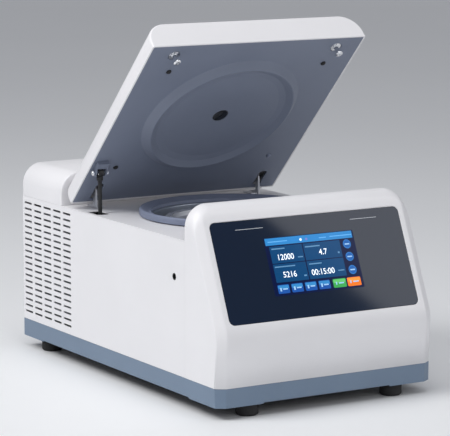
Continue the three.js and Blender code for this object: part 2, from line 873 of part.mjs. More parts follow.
// ---------- Hinges ----------
function hingeArm(side) {
  const x = side * HINGE_X;
  const plate = prism(
    "x",
    outline([
      [129.2, DECK_TOP + GAP],
      [159, DECK_TOP + GAP],
      [159, 255.5],
      [138.5, 259.5, 2],
      [138.5, 270, 8],
      [HINGE_Y + 3, HINGE_Z - 8, 8],
      [HINGE_Y + 8, HINGE_Z, 6],
      [HINGE_Y + 2, HINGE_Z + 8, 6],
      [HINGE_Y - 10, HINGE_Z + 4, 6],
      [129.2, 283, 12],
    ]),
    [x - 1.5, x + 1.5],
  );
  const footSpan = side < 0 ? [x + 1.4, x + 14] : [x - 14, x - 1.4];
  const foot = box(footSpan, [131, 157], [DECK_TOP + GAP, DECK_TOP + 2.3]);
  return cut(joined(plate, foot), bar("x", PIN_RADIUS + 0.1, [x - 3, x + 3], [HINGE_Y, HINGE_Z]));
}
add("left_hinge_arm", "zinc", hingeArm(-1));
add("right_hinge_arm", "zinc", hingeArm(1));

// Cheeks either side of the arm under a plate on the lid's inner top, and the pin through them.
function hingeBracket(side) {
  const x = side * HINGE_X;
  const top = LID_TOP - LID_WALL - 3 * GAP; // clear of the shell's rounded corner
  const cheek = (span) =>
    prism(
      "x",
      outline([
        [-8, -8, 6],
        [8, -8, 6],
        [12, top],
        [-12, top],
      ]),
      span,
    );
  const plate = box([x - 10, x + 10], [-15, 15], [top - 1.8, top]);
  return cut(
    joined(cheek([x - 10, x - 7]), cheek([x + 7, x + 10]), plate),
    bar("x", PIN_RADIUS + GAP, [x - 13, x + 13], [0, 0]),
  );
}
[
  ["left", -1],
  ["right", 1],
].forEach(([name, side]) => {
  const x = side * HINGE_X;
  add(`${name}_hinge_bracket`, "zinc", hingeBracket(side), lid);
  add(`${name}_hinge_pin`, "steel", bar("x", PIN_RADIUS, [x - 12, x + 12], [0, 0]), lid);
});

// ---------- Lid ----------
const PORT_RADIUS = 13;
const LID_CHAMBER_Y = CHAMBER_Y - HINGE_Y;
const SLOT_Y = [-26.5, 10.8];
const STRIKER_Y = LATCH_Y - HINGE_Y;
const BUTTON_PLACES = {
  lid_button_front_left: [-139, LID_BACK - 323],
  lid_button_front_right: [139, LID_BACK - 323],
  lid_button_rear_left: [-142, LID_BACK - 89],
  lid_button_rear_right: [142, LID_BACK - 89],
};

function lidShell() {
  const outer = prism("y", arch(HALF_WIDTH, LID_FACE, LID_TOP, ARCH_RADIUS), [LID_FRONT, LID_BACK]);
  const half = HALF_WIDTH - LID_WALL;
  const inside = arch(half, LID_FACE - 1, LID_TOP - LID_WALL, ARCH_RADIUS - LID_WALL);
  return cut(
    outer,
    prism("y", inside, [LID_FRONT + LID_WALL, LID_BACK - LID_WALL]),
    bar("z", PORT_RADIUS + GAP, [0, LID_TOP + 1], [0, LID_CHAMBER_Y], 24),
  );
}

// The boss is dished and its crest reaches into the seal ring when the lid is shut.
const BOSS_RADIUS = 132.5;
const bossProfile = [
  [0, LID_FACE + LINER_THICKNESS],
  [0, LID_FACE - 1.6],
  [100, LID_FACE - 2.4],
  [110, LID_FACE - 4.4],
  [119, LID_FACE - 10.4],
  [120.5, LID_FACE - 11.2],
  [122, LID_FACE - 10.8],
  [BOSS_RADIUS, LID_FACE],
  [BOSS_RADIUS, LID_FACE + LINER_THICKNESS],
];

function lidLiner() {
  const inset = LID_WALL + GAP;
  const plate = box(
    [-HALF_WIDTH + inset, HALF_WIDTH - inset],
    [LID_FRONT + inset, LID_BACK - inset],
    [LID_FACE, LID_FACE + LINER_THICKNESS],
  );
  const through = [LID_FACE - 1, LID_FACE + LINER_THICKNESS + 1];
  const slot = (x) => prism("z", rectangle([x - 7, x + 7], SLOT_Y, 5, 3), through);
  const recess = (x) => bar("z", 9.5, [LID_FACE - 1, LID_FACE + 2], [x, STRIKER_Y], 24);
  const port = bar("z", PORT_RADIUS + GAP, [LID_FACE - 10, LID_FACE + 6], [0, LID_CHAMBER_Y], 24);
  const buttonSeats = Object.values(BUTTON_PLACES).map((place) =>
    bar("z", 4.3, [LID_FACE - 1, LID_FACE + 1.5], place, 16),
  );
  return cut(
    joined(plate, turned(bossProfile, [0, LID_CHAMBER_Y], 48)),
    slot(-HINGE_X),
    slot(HINGE_X),
    recess(-LATCH_X),
    recess(LATCH_X),
    port,
    ...buttonSeats,
  );
}

add("lid_shell", "white", lidShell(), lid);
add("lid_liner", "slate", lidLiner(), lid);
add(
  "sight_plug",
  "clear",
  bar("z", PORT_RADIUS, [LID_FACE - 1, LID_TOP - 0.5], [0, LID_CHAMBER_Y], 24),
  lid,
);
const lidFoam = cut(
  box(
    [-126, 126],
    [LID_FRONT + 12, -28],
    [LID_FACE + LINER_THICKNESS + GAP, LID_TOP - LID_WALL - GAP],
  ),
  bar("z", PORT_RADIUS + 1, [LID_FACE, LID_TOP], [0, LID_CHAMBER_Y], 24),
);
add("lid_insulation", "foam", lidFoam, lid);

Object.entries(BUTTON_PLACES).forEach(([name, place]) => {
  const profile = [
    [0, LID_FACE + 1.2],
    [4, LID_FACE + 1.2],
    [4, LID_FACE - 0.8],
    [2.6, LID_FACE - 1.8],
    [0, LID_FACE - 2.1],
  ];
  add(name, "rubber", turned(profile, place, 16), lid);
});

// Striker: plate in the recess, shank and a mushroom head.
const STRIKER_REACH = 15.5;
const strikerProfile = [
  [0, LID_FACE + 2 - GAP],
  [8.6, LID_FACE + 2 - GAP],
  [8.6, LID_FACE + 0.4],
  [3.5, LID_FACE - 0.6],
  [3.5, LID_FACE - STRIKER_REACH + 4.2],
  [6, LID_FACE - STRIKER_REACH + 3.4],
  [6, LID_FACE - STRIKER_REACH + 1.8],
  [3.4, LID_FACE - STRIKER_REACH],
  [0, LID_FACE - STRIKER_REACH],
];
add("left_striker", "polished", turned(strikerProfile, [-LATCH_X, STRIKER_Y], 18), lid);
add("right_striker", "polished", turned(strikerProfile, [LATCH_X, STRIKER_Y], 18), lid);

// ---------- Gas strut ----------
const BALL_RADIUS = 4.5;
const CUP_INNER = 4.9;
const CUP_OUTER = 6.2;
const STUD_RADIUS = 2.4;
const STUD_REACH = 13.7;
const NUT_RADIUS = 4.6;
const FLANGE_REACH = [8, 10]; // the fork's cheeks, to each side of the strut
const [ballY, ballZ] = STRUT_TOP;

function strutBracket() {
  const block = box(
    [STRUT_X - FLANGE_REACH[1], STRUT_X + FLANGE_REACH[1]],
    [ballY - 21, ballY - 8.5],
    [LID_FACE - GAP - 6, LID_FACE - GAP],
  );
  const side = outline([
    [ballY - 12, LID_FACE - GAP],
    [ballY - 12, ballZ + 0.5],
    [ballY - 5, ballZ - 5, 4],
    [ballY + 5, ballZ - 5, 4],
    [ballY + 9, LID_FACE - GAP],
  ]);
  const [near, far] = FLANGE_REACH;
  return cut(
    joined(
      block,
      prism("x", side, [STRUT_X - far, STRUT_X - near]),
      prism("x", side, [STRUT_X + near, STRUT_X + far]),
    ),
    bar("x", STUD_RADIUS + GAP, [STRUT_X - far - 1, STRUT_X + far + 1], STRUT_TOP, 16),
  );
}
add("strut_bracket", "black", strutBracket(), lid);

// A through stud with the ball in its middle and a nut outside each cheek.
function ballStud() {
  const ball = new THREE.SphereGeometry(BALL_RADIUS, 14, 8);
  ball.translate(STRUT_X, ballY, ballZ);
  const inner = FLANGE_REACH[1] + GAP;
  return joined(
    solid(ball),
    bar("x", STUD_RADIUS, [STRUT_X - STUD_REACH, STRUT_X + STUD_REACH], STRUT_TOP, 16),
    bar("x", NUT_RADIUS, [STRUT_X - STUD_REACH, STRUT_X - inner], STRUT_TOP, 6),
    bar("x", NUT_RADIUS, [STRUT_X + inner, STRUT_X + STUD_REACH], STRUT_TOP, 6),
  );
}
add("strut_ball_stud", "polished", ballStud(), lid);

// Rod and tube lie on the line from the upper ball to the lower pivot.
const ballWorld = new THREE.Vector3(STRUT_X, ballY, ballZ)
  .applyAxisAngle(new THREE.Vector3(1, 0, 0), -LID_OPEN)
  .add(new THREE.Vector3(0, HINGE_Y, HINGE_Z));
const strutLean = Math.atan2(STRUT_FOOT[0] - ballWorld.y, ballWorld.z - STRUT_FOOT[1]);
const strutLength = Math.hypot(STRUT_FOOT[0] - ballWorld.y, ballWorld.z - STRUT_FOOT[1]);
const tubeTop = STRUT_TUBE_TOP - ballWorld.z;
const strut = new THREE.Group();
strut.position.copy(ballWorld);
strut.rotation.x = strutLean;
centrifuge.add(strut);

const cupSpan = [-4.6, 4.6];
const strutRod = cut(
  joined(
    bar("x", CUP_OUTER, cupSpan, [0, 0]),
    bar("z", 5.2, [-12, -4.8], [0, 0]),
    bar("z", 3.3, [-112, -11], [0, 0]),
  ),
  bar("x", CUP_INNER, [cupSpan[0] - 1, cupSpan[1] + 1], [0, 0]),
);
add("strut_rod", "black", strutRod, strut);

function strutTube() {
  const barrel = cut(
    bar("z", 9, [-strutLength + 10, tubeTop], [0, 0], 24),
    bar("z", 3.7, [-strutLength + 30, tubeTop + 1], [0, 0]),
  );
  const eye = cut(
    joined(
      bar("x", 9, [-5, 5], [0, -strutLength], 24),
      box([-5, 5], [-4, 4], [-strutLength + 5, -strutLength + 12]),
    ),
    bar("x", 5.5, [-6, 6], [0, -strutLength], 24),
  );
  return joined(barrel, eye);
}
add("strut_tube", "black", strutTube(), strut);

// Bracket on the pan. Its stud ends beside the eye: the lower pivot is where the linkage is open.
const mountWidth = [STRUT_FOOT[0] - 14, STRUT_FOOT[0] + 14];
const strutMount = joined(
  box([-161, -158], mountWidth, [PAN_FLOOR + GAP, STRUT_FOOT[1] + 12]),
  box([-161, -130], mountWidth, [PAN_FLOOR + GAP, PAN_FLOOR + 3]),
  bar("x", 5, [STRUT_X + 5.6, -160.9], STRUT_FOOT, 20),
);
add("strut_mount", "zinc", strutMount);

// ---------- Cooling ----------
const compressorProfile = [
  [0, 34],
  [50, 34],
  [60, 46],
  [60, 128],
  [46, 152],
  [20, 160],
  [0, 162],
];
const compressorFeet = [-50, 50].map((dx) =>
  box([dx + 20, dx + 50], [172, 292], [PAN_FLOOR + GAP, 36]),
);
add("compressor", "enamel", joined(turned(compressorProfile, [35, 232], 28), ...compressorFeet));

const CONDENSER_X = [-180, -150];
const CONDENSER_Y = [152, 312];
const CONDENSER_Z = [62, 238];
function condenser() {
  const fins = 22;
  const pitch = (CONDENSER_Z[1] - CONDENSER_Z[0]) / fins;
  const thickness = 1.6;
  const teeth = Array.from({ length: fins }, (_, k) => {
    const z = CONDENSER_Z[1] - k * pitch;
    const root = CONDENSER_X[1] - 8;
    return [
      [CONDENSER_X[0], z],
      [CONDENSER_X[0], z - thickness],
      [root, z - thickness],
      [root, z - pitch],
    ];
  });
  const stand = [
    [CONDENSER_X[1] - 8, PAN_FLOOR + GAP],
    [CONDENSER_X[1], PAN_FLOOR + GAP],
    [CONDENSER_X[1], CONDENSER_Z[1]],
  ];
  return prism("y", outline([...teeth.flat(), ...stand]), CONDENSER_Y);
}
add("condenser", "aluminium", condenser());

const SHROUD_X = [-146, -112];
const shroud = cut(
  box(SHROUD_X, [152, 312], [PAN_FLOOR + GAP, 238]),
  bar("x", FAN_RADIUS + 4, [SHROUD_X[0] + 6, SHROUD_X[1] + 1], FAN_AXIS, 32),
  box([SHROUD_X[0] - 1, SHROUD_X[0] + 7], [FAN_AXIS[0] - 62, FAN_AXIS[0] + 62], [88, 212]),
);
add("fan_shroud", "black", shroud);

function fan() {
  const blades = 7;
  const hub = bar("x", 20, [-136, -116], [0, 0], 28);
  const blade = new THREE.BoxGeometry(2.2, 22, 48);
  blade.rotateZ(THREE.MathUtils.degToRad(-58));
  blade.translate(-126, 0, 41);
  let body = hub;
  for (let k = 0; k < blades; k++) {
    const copy = blade.clone();
    copy.rotateX((k * 2 * Math.PI) / blades);
    body = body.add(solid(copy));
  }
  return body;
}
const fanMesh = add("condenser_fan", "black", fan());
fanMesh.position.set(0, ...FAN_AXIS);

add("motor_drive", "darkSheet", box([118, 178], [150, 290], [PAN_FLOOR + GAP, 190]));

export default centrifuge;
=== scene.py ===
"""Benchtop refrigerated centrifuge with its lid open: fine meshes and materials round the CAD frame.

Shapes are worked out in millimetres, in the frame's own axes, and written to meshes in metres.
"""

import json
import math

import bmesh
import bpy
from mathutils import Matrix, Vector

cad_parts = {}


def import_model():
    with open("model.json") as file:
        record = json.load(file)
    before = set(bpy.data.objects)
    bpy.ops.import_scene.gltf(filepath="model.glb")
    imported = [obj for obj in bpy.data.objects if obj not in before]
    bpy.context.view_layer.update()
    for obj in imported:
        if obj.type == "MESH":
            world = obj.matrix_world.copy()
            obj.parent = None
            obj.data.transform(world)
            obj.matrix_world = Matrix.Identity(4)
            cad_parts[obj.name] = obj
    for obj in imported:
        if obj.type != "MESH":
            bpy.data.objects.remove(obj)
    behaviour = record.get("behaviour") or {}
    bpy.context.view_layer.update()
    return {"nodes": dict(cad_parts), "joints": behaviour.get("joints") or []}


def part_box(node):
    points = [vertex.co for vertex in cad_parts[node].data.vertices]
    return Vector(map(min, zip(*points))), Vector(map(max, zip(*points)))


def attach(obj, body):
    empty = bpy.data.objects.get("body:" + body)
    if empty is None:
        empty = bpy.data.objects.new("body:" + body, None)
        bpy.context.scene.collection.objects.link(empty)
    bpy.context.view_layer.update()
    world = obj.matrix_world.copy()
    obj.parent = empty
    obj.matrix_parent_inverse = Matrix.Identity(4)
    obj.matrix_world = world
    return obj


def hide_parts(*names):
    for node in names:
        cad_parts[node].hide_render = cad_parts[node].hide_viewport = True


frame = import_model()

MM = 0.001
HALF_PI = math.pi / 2


def span(node):
    """Lowest and highest corner of a CAD node at rest, in millimetres."""
    low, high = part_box(node)
    return Vector(low) / MM, Vector(high) / MM


def joint(name):
    return next(j for j in frame["joints"] if j["name"] == name)


# ---------- Places taken from the frame ----------
cover_low, cover_high = span("front_cover")
deck_low, deck_high = span("top_deck")
rear_low, rear_high = span("rear_cover")
panel_low = span("left_side_panel")[0]
ring_low, ring_high = span("seal_ring")
bowl_low, bowl_high = span("chamber_bowl")
nut_low, nut_high = span("rotor_nut")

HALF_WIDTH = cover_high.x
FRONT = cover_low.y
COVER_BACK = cover_high.y
COVER_BOTTOM = cover_low.z
HOUSING_TOP = cover_high.z
DECK_TOP = deck_high.z
BACK = rear_high.y
REAR_FRONT = rear_low.y
CHAMBER = Vector((0, (ring_low.y + ring_high.y) / 2, 0))

HINGE = Vector(joint("lid_hinge")["pos_m"]) / MM
LID_OPEN = math.radians(joint("lid_hinge")["range_deg"][1])
LID = Matrix.Translation(HINGE) @ Matrix.Rotation(-LID_OPEN, 4, "X")

# ---------- Dimensions shared with the CAD model ----------
GAP = 0.3
ARCH_RADIUS = 34
SHEET = 2
WALL = 3
CORNER_X = 14
CORNER_Y = 9
CONSOLE_LEAN = math.radians(23.64)
LOWER_LEAN = math.radians(3.65)
FOLD_RADIUS = 60
FOLD_Z = 111
BROW_RADIUS = 28
GLASS_FOOT_Z = 139.2
GLASS_HALF_WIDTH = 167
GLASS_LENGTH = 155
GLASS_RADIUS = 9
GLASS_RECESS = 0.8
GLASS_THICKNESS = 2.5
RING_INNER = 126
HINGE_X = 152
LATCH_X = 145
LATCH_Y = -189
LID_FACE = -29
LID_TOP = 14.5
LID_BACK = 19.3
LID_FRONT = LID_BACK - 385
LID_WALL = 2.5
STRIKER_Y = LATCH_Y - HINGE.y
LID_CHAMBER_Y = CHAMBER.y - HINGE.y
PORT_RADIUS = 13


# ---------- Outlines ----------
def outline(corners, steps=8, closed=True):
    """Points through corners (a, b, radius): each radius becomes an arc."""
    points = []
    count = len(corners)
    for i, corner in enumerate(corners):
        here = Vector(corner[:2])
        radius = corner[2] if len(corner) > 2 else 0
        if not radius or (not closed and i in (0, count - 1)):
            points.append(here)
            continue
        before = (Vector(corners[i - 1][:2]) - here).normalized()
        after = (Vector(corners[(i + 1) % count][:2]) - here).normalized()
        half = before.angle(after) / 2
        centre = here + (before + after).normalized() * radius / math.sin(half)
        first = here + before * radius / math.tan(half) - centre
        last = here + after * radius / math.tan(half) - centre
        sweep = math.atan2(first.x * last.y - first.y * last.x, first.dot(last))
        for k in range(steps + 1):
            turn = sweep * k / steps
            c, s = math.cos(turn), math.sin(turn)
            points.append(centre + Vector((first.x * c - first.y * s, first.x * s + first.y * c)))
    return points


def rectangle(a0, a1, b0, b1, radius, steps=6):
    return outline([(a0, b0, radius), (a1, b0, radius), (a1, b1, radius), (a0, b1, radius)], steps)


def circle(centre, radius, segments=48):
    turns = [2 * math.pi * k / segments for k in range(segments)]
    return [Vector((centre[0] + radius * math.cos(t), centre[1] + radius * math.sin(t))) for t in turns]


def inset(points, distance):
    """A closed counter-clockwise outline moved inwards by a distance."""
    moved = []
    count = len(points)
    for i, here in enumerate(points):
        before = (here - points[i - 1]).normalized()
        after = (points[(i + 1) % count] - here).normalized()
        first = Vector((-before.y, before.x))
        second = Vector((-after.y, after.x))
        moved.append(here + (first + second) * distance / (1 + first.dot(second)))
    return moved


def soften(radius, steps=3):
    """Rounding of an edge as (distance in from the wall, distance down from the face)."""
    turns = [HALF_PI * k / steps for k in range(steps + 1)]
    return [(radius * (1 - math.cos(t)), radius * (1 - math.sin(t))) for t in turns]


# ---------- Meshes ----------
class Shape:
    """A mesh in the making, in millimetres."""

    def __init__(self):
        self.bm = bmesh.new()

    def loop(self, points):
        return [self.bm.verts.new(p) for p in points]

    def bridge(self, one, other, closed=True):
        if len(one) == 1 or len(other) == 1:
            self.fan(one, other, closed)
            return
        count = len(one)
        for i in range(count if closed else count - 1):
            k = (i + 1) % count
            self.bm.faces.new((one[i], one[k], other[k], other[i])).smooth = True

    def fan(self, one, other, closed=True):
        tip, rim = (one[0], other) if len(one) == 1 else (other[0], one)
        count = len(rim)
        for i in range(count if closed else count - 1):
            self.bm.faces.new((tip, rim[i], rim[(i + 1) % count])).smooth = True

    def skin(self, loops, closed=True):
        for one, other in zip(loops, loops[1:]):
            self.bridge(one, other, closed)

    def wall(self, points, steps, side):
        """A wall along an outline in steps of (distance in, height); side -1 is the wall of a hole."""
        loops = [self.loop([(p.x, p.y, z) for p in inset(points, side * d)]) for d, z in steps]
        self.skin(loops)
        return loops

    def fill(self, *loops):
        """A flat face between closed loops: the first is its rim, the others are holes in it."""
        edges = []
        for verts in loops:
            for i, v in enumerate(verts):
                other = verts[(i + 1) % len(verts)]
                edges.append(self.bm.edges.get((v, other)) or self.bm.edges.new((v, other)))
        bmesh.ops.triangle_fill(self.bm, use_beauty=True, edges=edges)

    def place(self, matrix):
        self.bm.transform(matrix)
        return self

    def add(self, other):
        """Takes another shape's surfaces into this mesh."""
        taken = bpy.data.meshes.new("taken")
        other.bm.to_mesh(taken)
        self.bm.from_mesh(taken)
        bpy.data.meshes.remove(taken)
        return self


def lathe(profile, segments=64, centre=(0, 0), closed=False):
    """(radius, height) points turned about an upright axis. A closed profile is a ring's section."""
    shape = Shape()
    loops = []
    for radius, height in profile:
        if radius < 1e-6:
            loops.append(shape.loop([(centre[0], centre[1], height)]))
            continue
        loops.append(shape.loop([(p.x, p.y, height) for p in circle(centre, radius, segments)]))
    if closed:
        loops.append(loops[0])
    shape.skin(loops)
    return shape


def turned(corners, segments=40, steps=4, centre=(0, 0), closed=False):
    """A body turned about an upright axis, from (radius, height, rounding) corners."""
    profile = outline(corners, steps, closed)
    return lathe([(p.x, p.y) for p in profile], segments, centre, closed)


def slab(rim, low, high, soft=0.5, holes=()):
    """A plate from low to high with softened edges and through holes."""
    shape = Shape()
    rounding = soften(soft)
    up = [(d, high - e) for d, e in rounding]
    down = [(d, low + e) for d, e in reversed(rounding)]

    outer = shape.wall(rim, down + up, 1)
    through = [shape.wall(points, down + up, -1) for points in holes]
    shape.fill(outer[-1], *[h[-1] for h in through])
    shape.fill(outer[0], *[h[0] for h in through])
    return shape


def arch(half, bottom, top, radius):
    """Open arch section [x, z] from the left foot over the top to the right foot."""
    corners = [(-half, bottom), (-half, top, radius), (half, top, radius), (half, bottom)]
    return outline(corners, 14, closed=False)


def arch_shell(half, bottom, top, front, back, soft, wall):
    """A housing open below: an arch along Y with closed, softened ends."""
    shape = Shape()
    rounding = soften(soft, 4)
    stations = [(front + e, d) for d, e in reversed(rounding)] + [(back - e, d) for d, e in rounding]

    def skin(extra, shift):
        loops = []
        for y, d in stations:
            inner = d + extra
            points = arch(half - inner, bottom, top - inner, ARCH_RADIUS - inner)
            lean = shift if y < (front + back) / 2 else -shift
            loops.append(shape.loop([(p.x, y + lean, p.y) for p in points]))
        shape.skin(loops, closed=False)
        shape.fill(loops[0])
        shape.fill(loops[-1])
        return loops

    outer = skin(0, 0)
    inner = skin(wall, wall)
    rim_outer = [loop[0] for loop in outer] + [loop[-1] for loop in reversed(outer)]
    rim_inner = [loop[0] for loop in inner] + [loop[-1] for loop in reversed(inner)]
    shape.bridge(rim_outer, rim_inner)
    return shape


def carved(shape, *tools):
    """The shape with the tools' volumes taken away."""
    holders = []
    for item in (shape, *tools):
        bmesh.ops.recalc_face_normals(item.bm, faces=item.bm.faces)
        data = bpy.data.meshes.new("carving")
        item.bm.to_mesh(data)
        holder = bpy.data.objects.new("carving", data)
        bpy.context.scene.collection.objects.link(holder)
        holders.append(holder)
    for tool in holders[1:]:
        cut = holders[0].modifiers.new("cut", "BOOLEAN")
        cut.operation = "DIFFERENCE"
        cut.solver = "EXACT"
        cut.object = tool
    graph = bpy.context.evaluated_depsgraph_get()
    result = bpy.data.meshes.new_from_object(holders[0].evaluated_get(graph))
    made = Shape()
    made.bm.from_mesh(result)
    for holder in holders:
        bpy.data.objects.remove(holder)
    return made


def piece(name, shape, body, material, matrix=Matrix(), replaces=(), sharp=32):
    """Makes the object, in metres, riding on its body and standing for the CAD nodes it replaces."""
    bm = shape.bm
    bmesh.ops.remove_doubles(bm, verts=bm.verts, dist=1e-4)
    bmesh.ops.recalc_face_normals(bm, faces=bm.faces)
    bm.transform(Matrix.Scale(MM, 4) @ matrix)
    smooth = [face.smooth for face in bm.faces]
    mesh = bpy.data.meshes.new(name)
    bm.to_mesh(mesh)
    bm.free()
    mesh.set_sharp_from_angle(angle=math.radians(sharp))
    mesh.polygons.foreach_set("use_smooth", smooth)
    mesh.materials.append(material)
    made = bpy.data.objects.new(name, mesh)
    bpy.context.scene.collection.objects.link(made)
    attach(made, body)
    if replaces:
        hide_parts(*replaces)
    return made


def bevelled(made, width, segments=2, angle=40):
    """Softens the sharp edges left by a cut."""
    bevel = made.modifiers.new("bevel", "BEVEL")
    bevel.width = width * MM
    bevel.segments = segments
    bevel.limit_method = "ANGLE"
    bevel.angle_limit = math.radians(angle)
    bevel.use_clamp_overlap = True
    return made


# ---------- Materials ----------
def material(name, colour, second=None, roughness=0.4, metallic=0.0, patch=40, grain=0.0, grain_scale=900,
             stretch=(1, 1, 1), coat=0.0, glow=0.0, spread=0.06, clear=0.0, specular=0.5):
    """A surface of two close colours in patches, uneven gloss, and a fine grain in relief."""
    made = bpy.data.materials.new(name)
    made.use_nodes = True
    nodes = made.node_tree.nodes
    links = made.node_tree.links
    shader = nodes["Principled BSDF"]
    shader.inputs["Metallic"].default_value = metallic
    shader.inputs["Coat Weight"].default_value = coat
    shader.inputs["Coat Roughness"].default_value = 0.06
    shader.inputs["Transmission Weight"].default_value = clear
    shader.inputs["Specular IOR Level"].default_value = specular

    place = nodes.new("ShaderNodeTexCoord")
    mapping = nodes.new("ShaderNodeMapping")
    mapping.inputs["Scale"].default_value = stretch
    links.new(place.outputs["Object"], mapping.inputs["Vector"])

    patches = nodes.new("ShaderNodeTexNoise")
    patches.inputs["Scale"].default_value = patch
    patches.inputs["Detail"].default_value = 4
    links.new(mapping.outputs["Vector"], patches.inputs["Vector"])

    ramp = nodes.new("ShaderNodeValToRGB")
    ramp.color_ramp.elements[0].position = 0.35
    ramp.color_ramp.elements[1].position = 0.65
    ramp.color_ramp.elements[0].color = (*colour, 1)
    ramp.color_ramp.elements[1].color = (*(second or [min(c * 1.04, 1) for c in colour]), 1)
    links.new(patches.outputs["Fac"], ramp.inputs["Fac"])
    links.new(ramp.outputs["Color"], shader.inputs["Base Color"])
    if glow:
        links.new(ramp.outputs["Color"], shader.inputs["Emission Color"])
        shader.inputs["Emission Strength"].default_value = glow

    gloss = nodes.new("ShaderNodeMapRange")
    gloss.inputs["To Min"].default_value = max(roughness - spread, 0.02)
    gloss.inputs["To Max"].default_value = roughness + spread
    links.new(patches.outputs["Fac"], gloss.inputs["Value"])
    links.new(gloss.outputs["Result"], shader.inputs["Roughness"])

    if grain:
        fine = nodes.new("ShaderNodeTexNoise")
        fine.inputs["Scale"].default_value = grain_scale
        fine.inputs["Detail"].default_value = 3
        links.new(mapping.outputs["Vector"], fine.inputs["Vector"])
        bump = nodes.new("ShaderNodeBump")
        bump.inputs["Strength"].default_value = grain
        bump.inputs["Distance"].default_value = 0.0002
        links.new(fine.outputs["Fac"], bump.inputs["Height"])
        links.new(bump.outputs["Normal"], shader.inputs["Normal"])
    return made


def srgb(red, green, blue):
    """A display colour of 0-255 parts as linear light."""
    shares = (red / 255, green / 255, blue / 255)
    return tuple(((s + 0.055) / 1.055) ** 2.4 if s > 10 / 255 else s / 12.92 for s in shares)


WHITE = material("white_paint", srgb(236, 235, 237), srgb(239, 238, 240), roughness=0.38, patch=6,
                 grain=0.12, grain_scale=1400, spread=0.03)
SKIRT = material("skirt_plastic", srgb(112, 131, 153), srgb(116, 135, 157), roughness=0.42, patch=12,
                 grain=0.2, grain_scale=1600, spread=0.04)
SLATE = material("slate_plastic", srgb(116, 124, 142), srgb(120, 128, 146), roughness=0.5, patch=10,
                 grain=0.25, grain_scale=1800, spread=0.04)
GASKET = material("seal_rubber", srgb(122, 130, 152), srgb(128, 136, 158), roughness=0.55, patch=60,
                  grain=0.35, grain_scale=2200, spread=0.06)
RUBBER = material("foot_rubber", srgb(26, 26, 28), srgb(34, 34, 36), roughness=0.8, patch=80, grain=0.5)
BLACK = material("black_plastic", srgb(24, 25, 28), srgb(30, 31, 34), roughness=0.45, patch=50, grain=0.3,
                 grain_scale=1800)
DARK_SHEET = material("dark_sheet", srgb(30, 31, 35), srgb(36, 37, 41), roughness=0.5, metallic=0.3, patch=30,
                      grain=0.2)
BOWL_STEEL = material("bowl_steel", srgb(146, 153, 166), srgb(154, 161, 174), roughness=0.3, metallic=0.45,
                      patch=30, stretch=(1, 1, 30), grain=0.12, grain_scale=60, spread=0.06)
POLISHED = material("polished_steel", srgb(214, 216, 220), srgb(228, 230, 233), roughness=0.12, metallic=1.0,
                    patch=90, spread=0.05, grain=0.05)
ZINC = material("zinc_steel", srgb(206, 208, 214), srgb(190, 193, 200), roughness=0.42, metallic=0.55,
                patch=160, grain=0.1, spread=0.08)
ALUMINIUM = material("anodised_aluminium", srgb(224, 226, 231), srgb(232, 234, 239), roughness=0.2,
                     metallic=0.6, patch=40, stretch=(1, 1, 12), grain=0.1, grain_scale=300, spread=0.06)
COPPER = material("copper_tube", srgb(196, 116, 70), srgb(170, 92, 52), roughness=0.3, metallic=1.0,
                  patch=120, grain=0.1)
CONSOLE = material("console_glass", srgb(5, 27, 52), srgb(7, 29, 55), roughness=0.06, patch=4, spread=0.02,
                   specular=0.35)
PORT = material("sight_port", srgb(30, 32, 38), srgb(36, 38, 44), roughness=0.08, clear=0.25, patch=30,
                spread=0.03)
BOARD = material("circuit_board", srgb(28, 92, 58), srgb(36, 108, 70), roughness=0.5, patch=400, grain=0.3)
FOAM = material("foam", srgb(214, 202, 164), srgb(226, 216, 184), roughness=0.9, patch=300, grain=0.9,
                grain_scale=1200)
ENAMEL = material("black_enamel", srgb(22, 23, 26), srgb(28, 29, 32), roughness=0.28, patch=20, coat=0.4,
                  grain=0.1)
FLOOR = material("floor", srgb(242, 243, 244), srgb(244, 245, 246), roughness=0.5, patch=0.6, spread=0.05)


def light_up(name, colour, glow=0.55):
    """A lit area of the screen, under the console's gloss."""
    return material(name, srgb(*colour), roughness=0.12, glow=glow, patch=20, spread=0.02, specular=0.12)


# ---------- Front cover and console ----------
FOLD_CENTRE_Y = FRONT + FOLD_RADIUS


def fold_point(angle):
    return Vector((FOLD_CENTRE_Y - FOLD_RADIUS * math.cos(angle), FOLD_Z + FOLD_RADIUS * math.sin(angle)))


CONSOLE_START = fold_point(CONSOLE_LEAN)
LOWER_START = fold_point(-LOWER_LEAN)


def console_y(z):
    return CONSOLE_START.x + (z - CONSOLE_START.y) * math.tan(CONSOLE_LEAN)


def lower_y(z):
    return LOWER_START.x + (LOWER_START.y - z) * math.tan(LOWER_LEAN)


# x right, y up the slope, z out of the glass; its origin is at the glass's foot
ON_CONSOLE = Matrix.Translation((0, console_y(GLASS_FOOT_Z), GLASS_FOOT_Z)) @ Matrix.Rotation(
    HALF_PI - CONSOLE_LEAN, 4, "X"
)


def chamfer_shift():
    """How far back the front surface lies at each x, over the cut corner: points (x, shift), x rising."""
    corners = [(0, 0), (HALF_WIDTH - CORNER_X, 0, 8), (HALF_WIDTH, CORNER_Y, 4), (HALF_WIDTH, CORNER_Y + 20)]
    return outline(corners, 8, closed=False)[:-1]


CHAMFER = chamfer_shift()


def shift_at(x):
    x = abs(x)
    for one, other in zip(CHAMFER, CHAMFER[1:]):
        if x <= other.x and other.x > one.x:
            return one.y + (other.y - one.y) * (x - one.x) / (other.x - one.x)
    return CHAMFER[-1].y


def cover_top(x):
    """Height of the arch at x."""
    over = max(abs(x) - (HALF_WIDTH - ARCH_RADIUS), 0)
    return HOUSING_TOP - ARCH_RADIUS + math.sqrt(max(ARCH_RADIUS**2 - over**2, 0))


POCKET_X = GLASS_HALF_WIDTH + 4
POCKET_LOW = -3.6
POCKET_HIGH = GLASS_LENGTH + 3.6
BACK_FOOT = 249  # the cover's rear wall ends here, over the deck


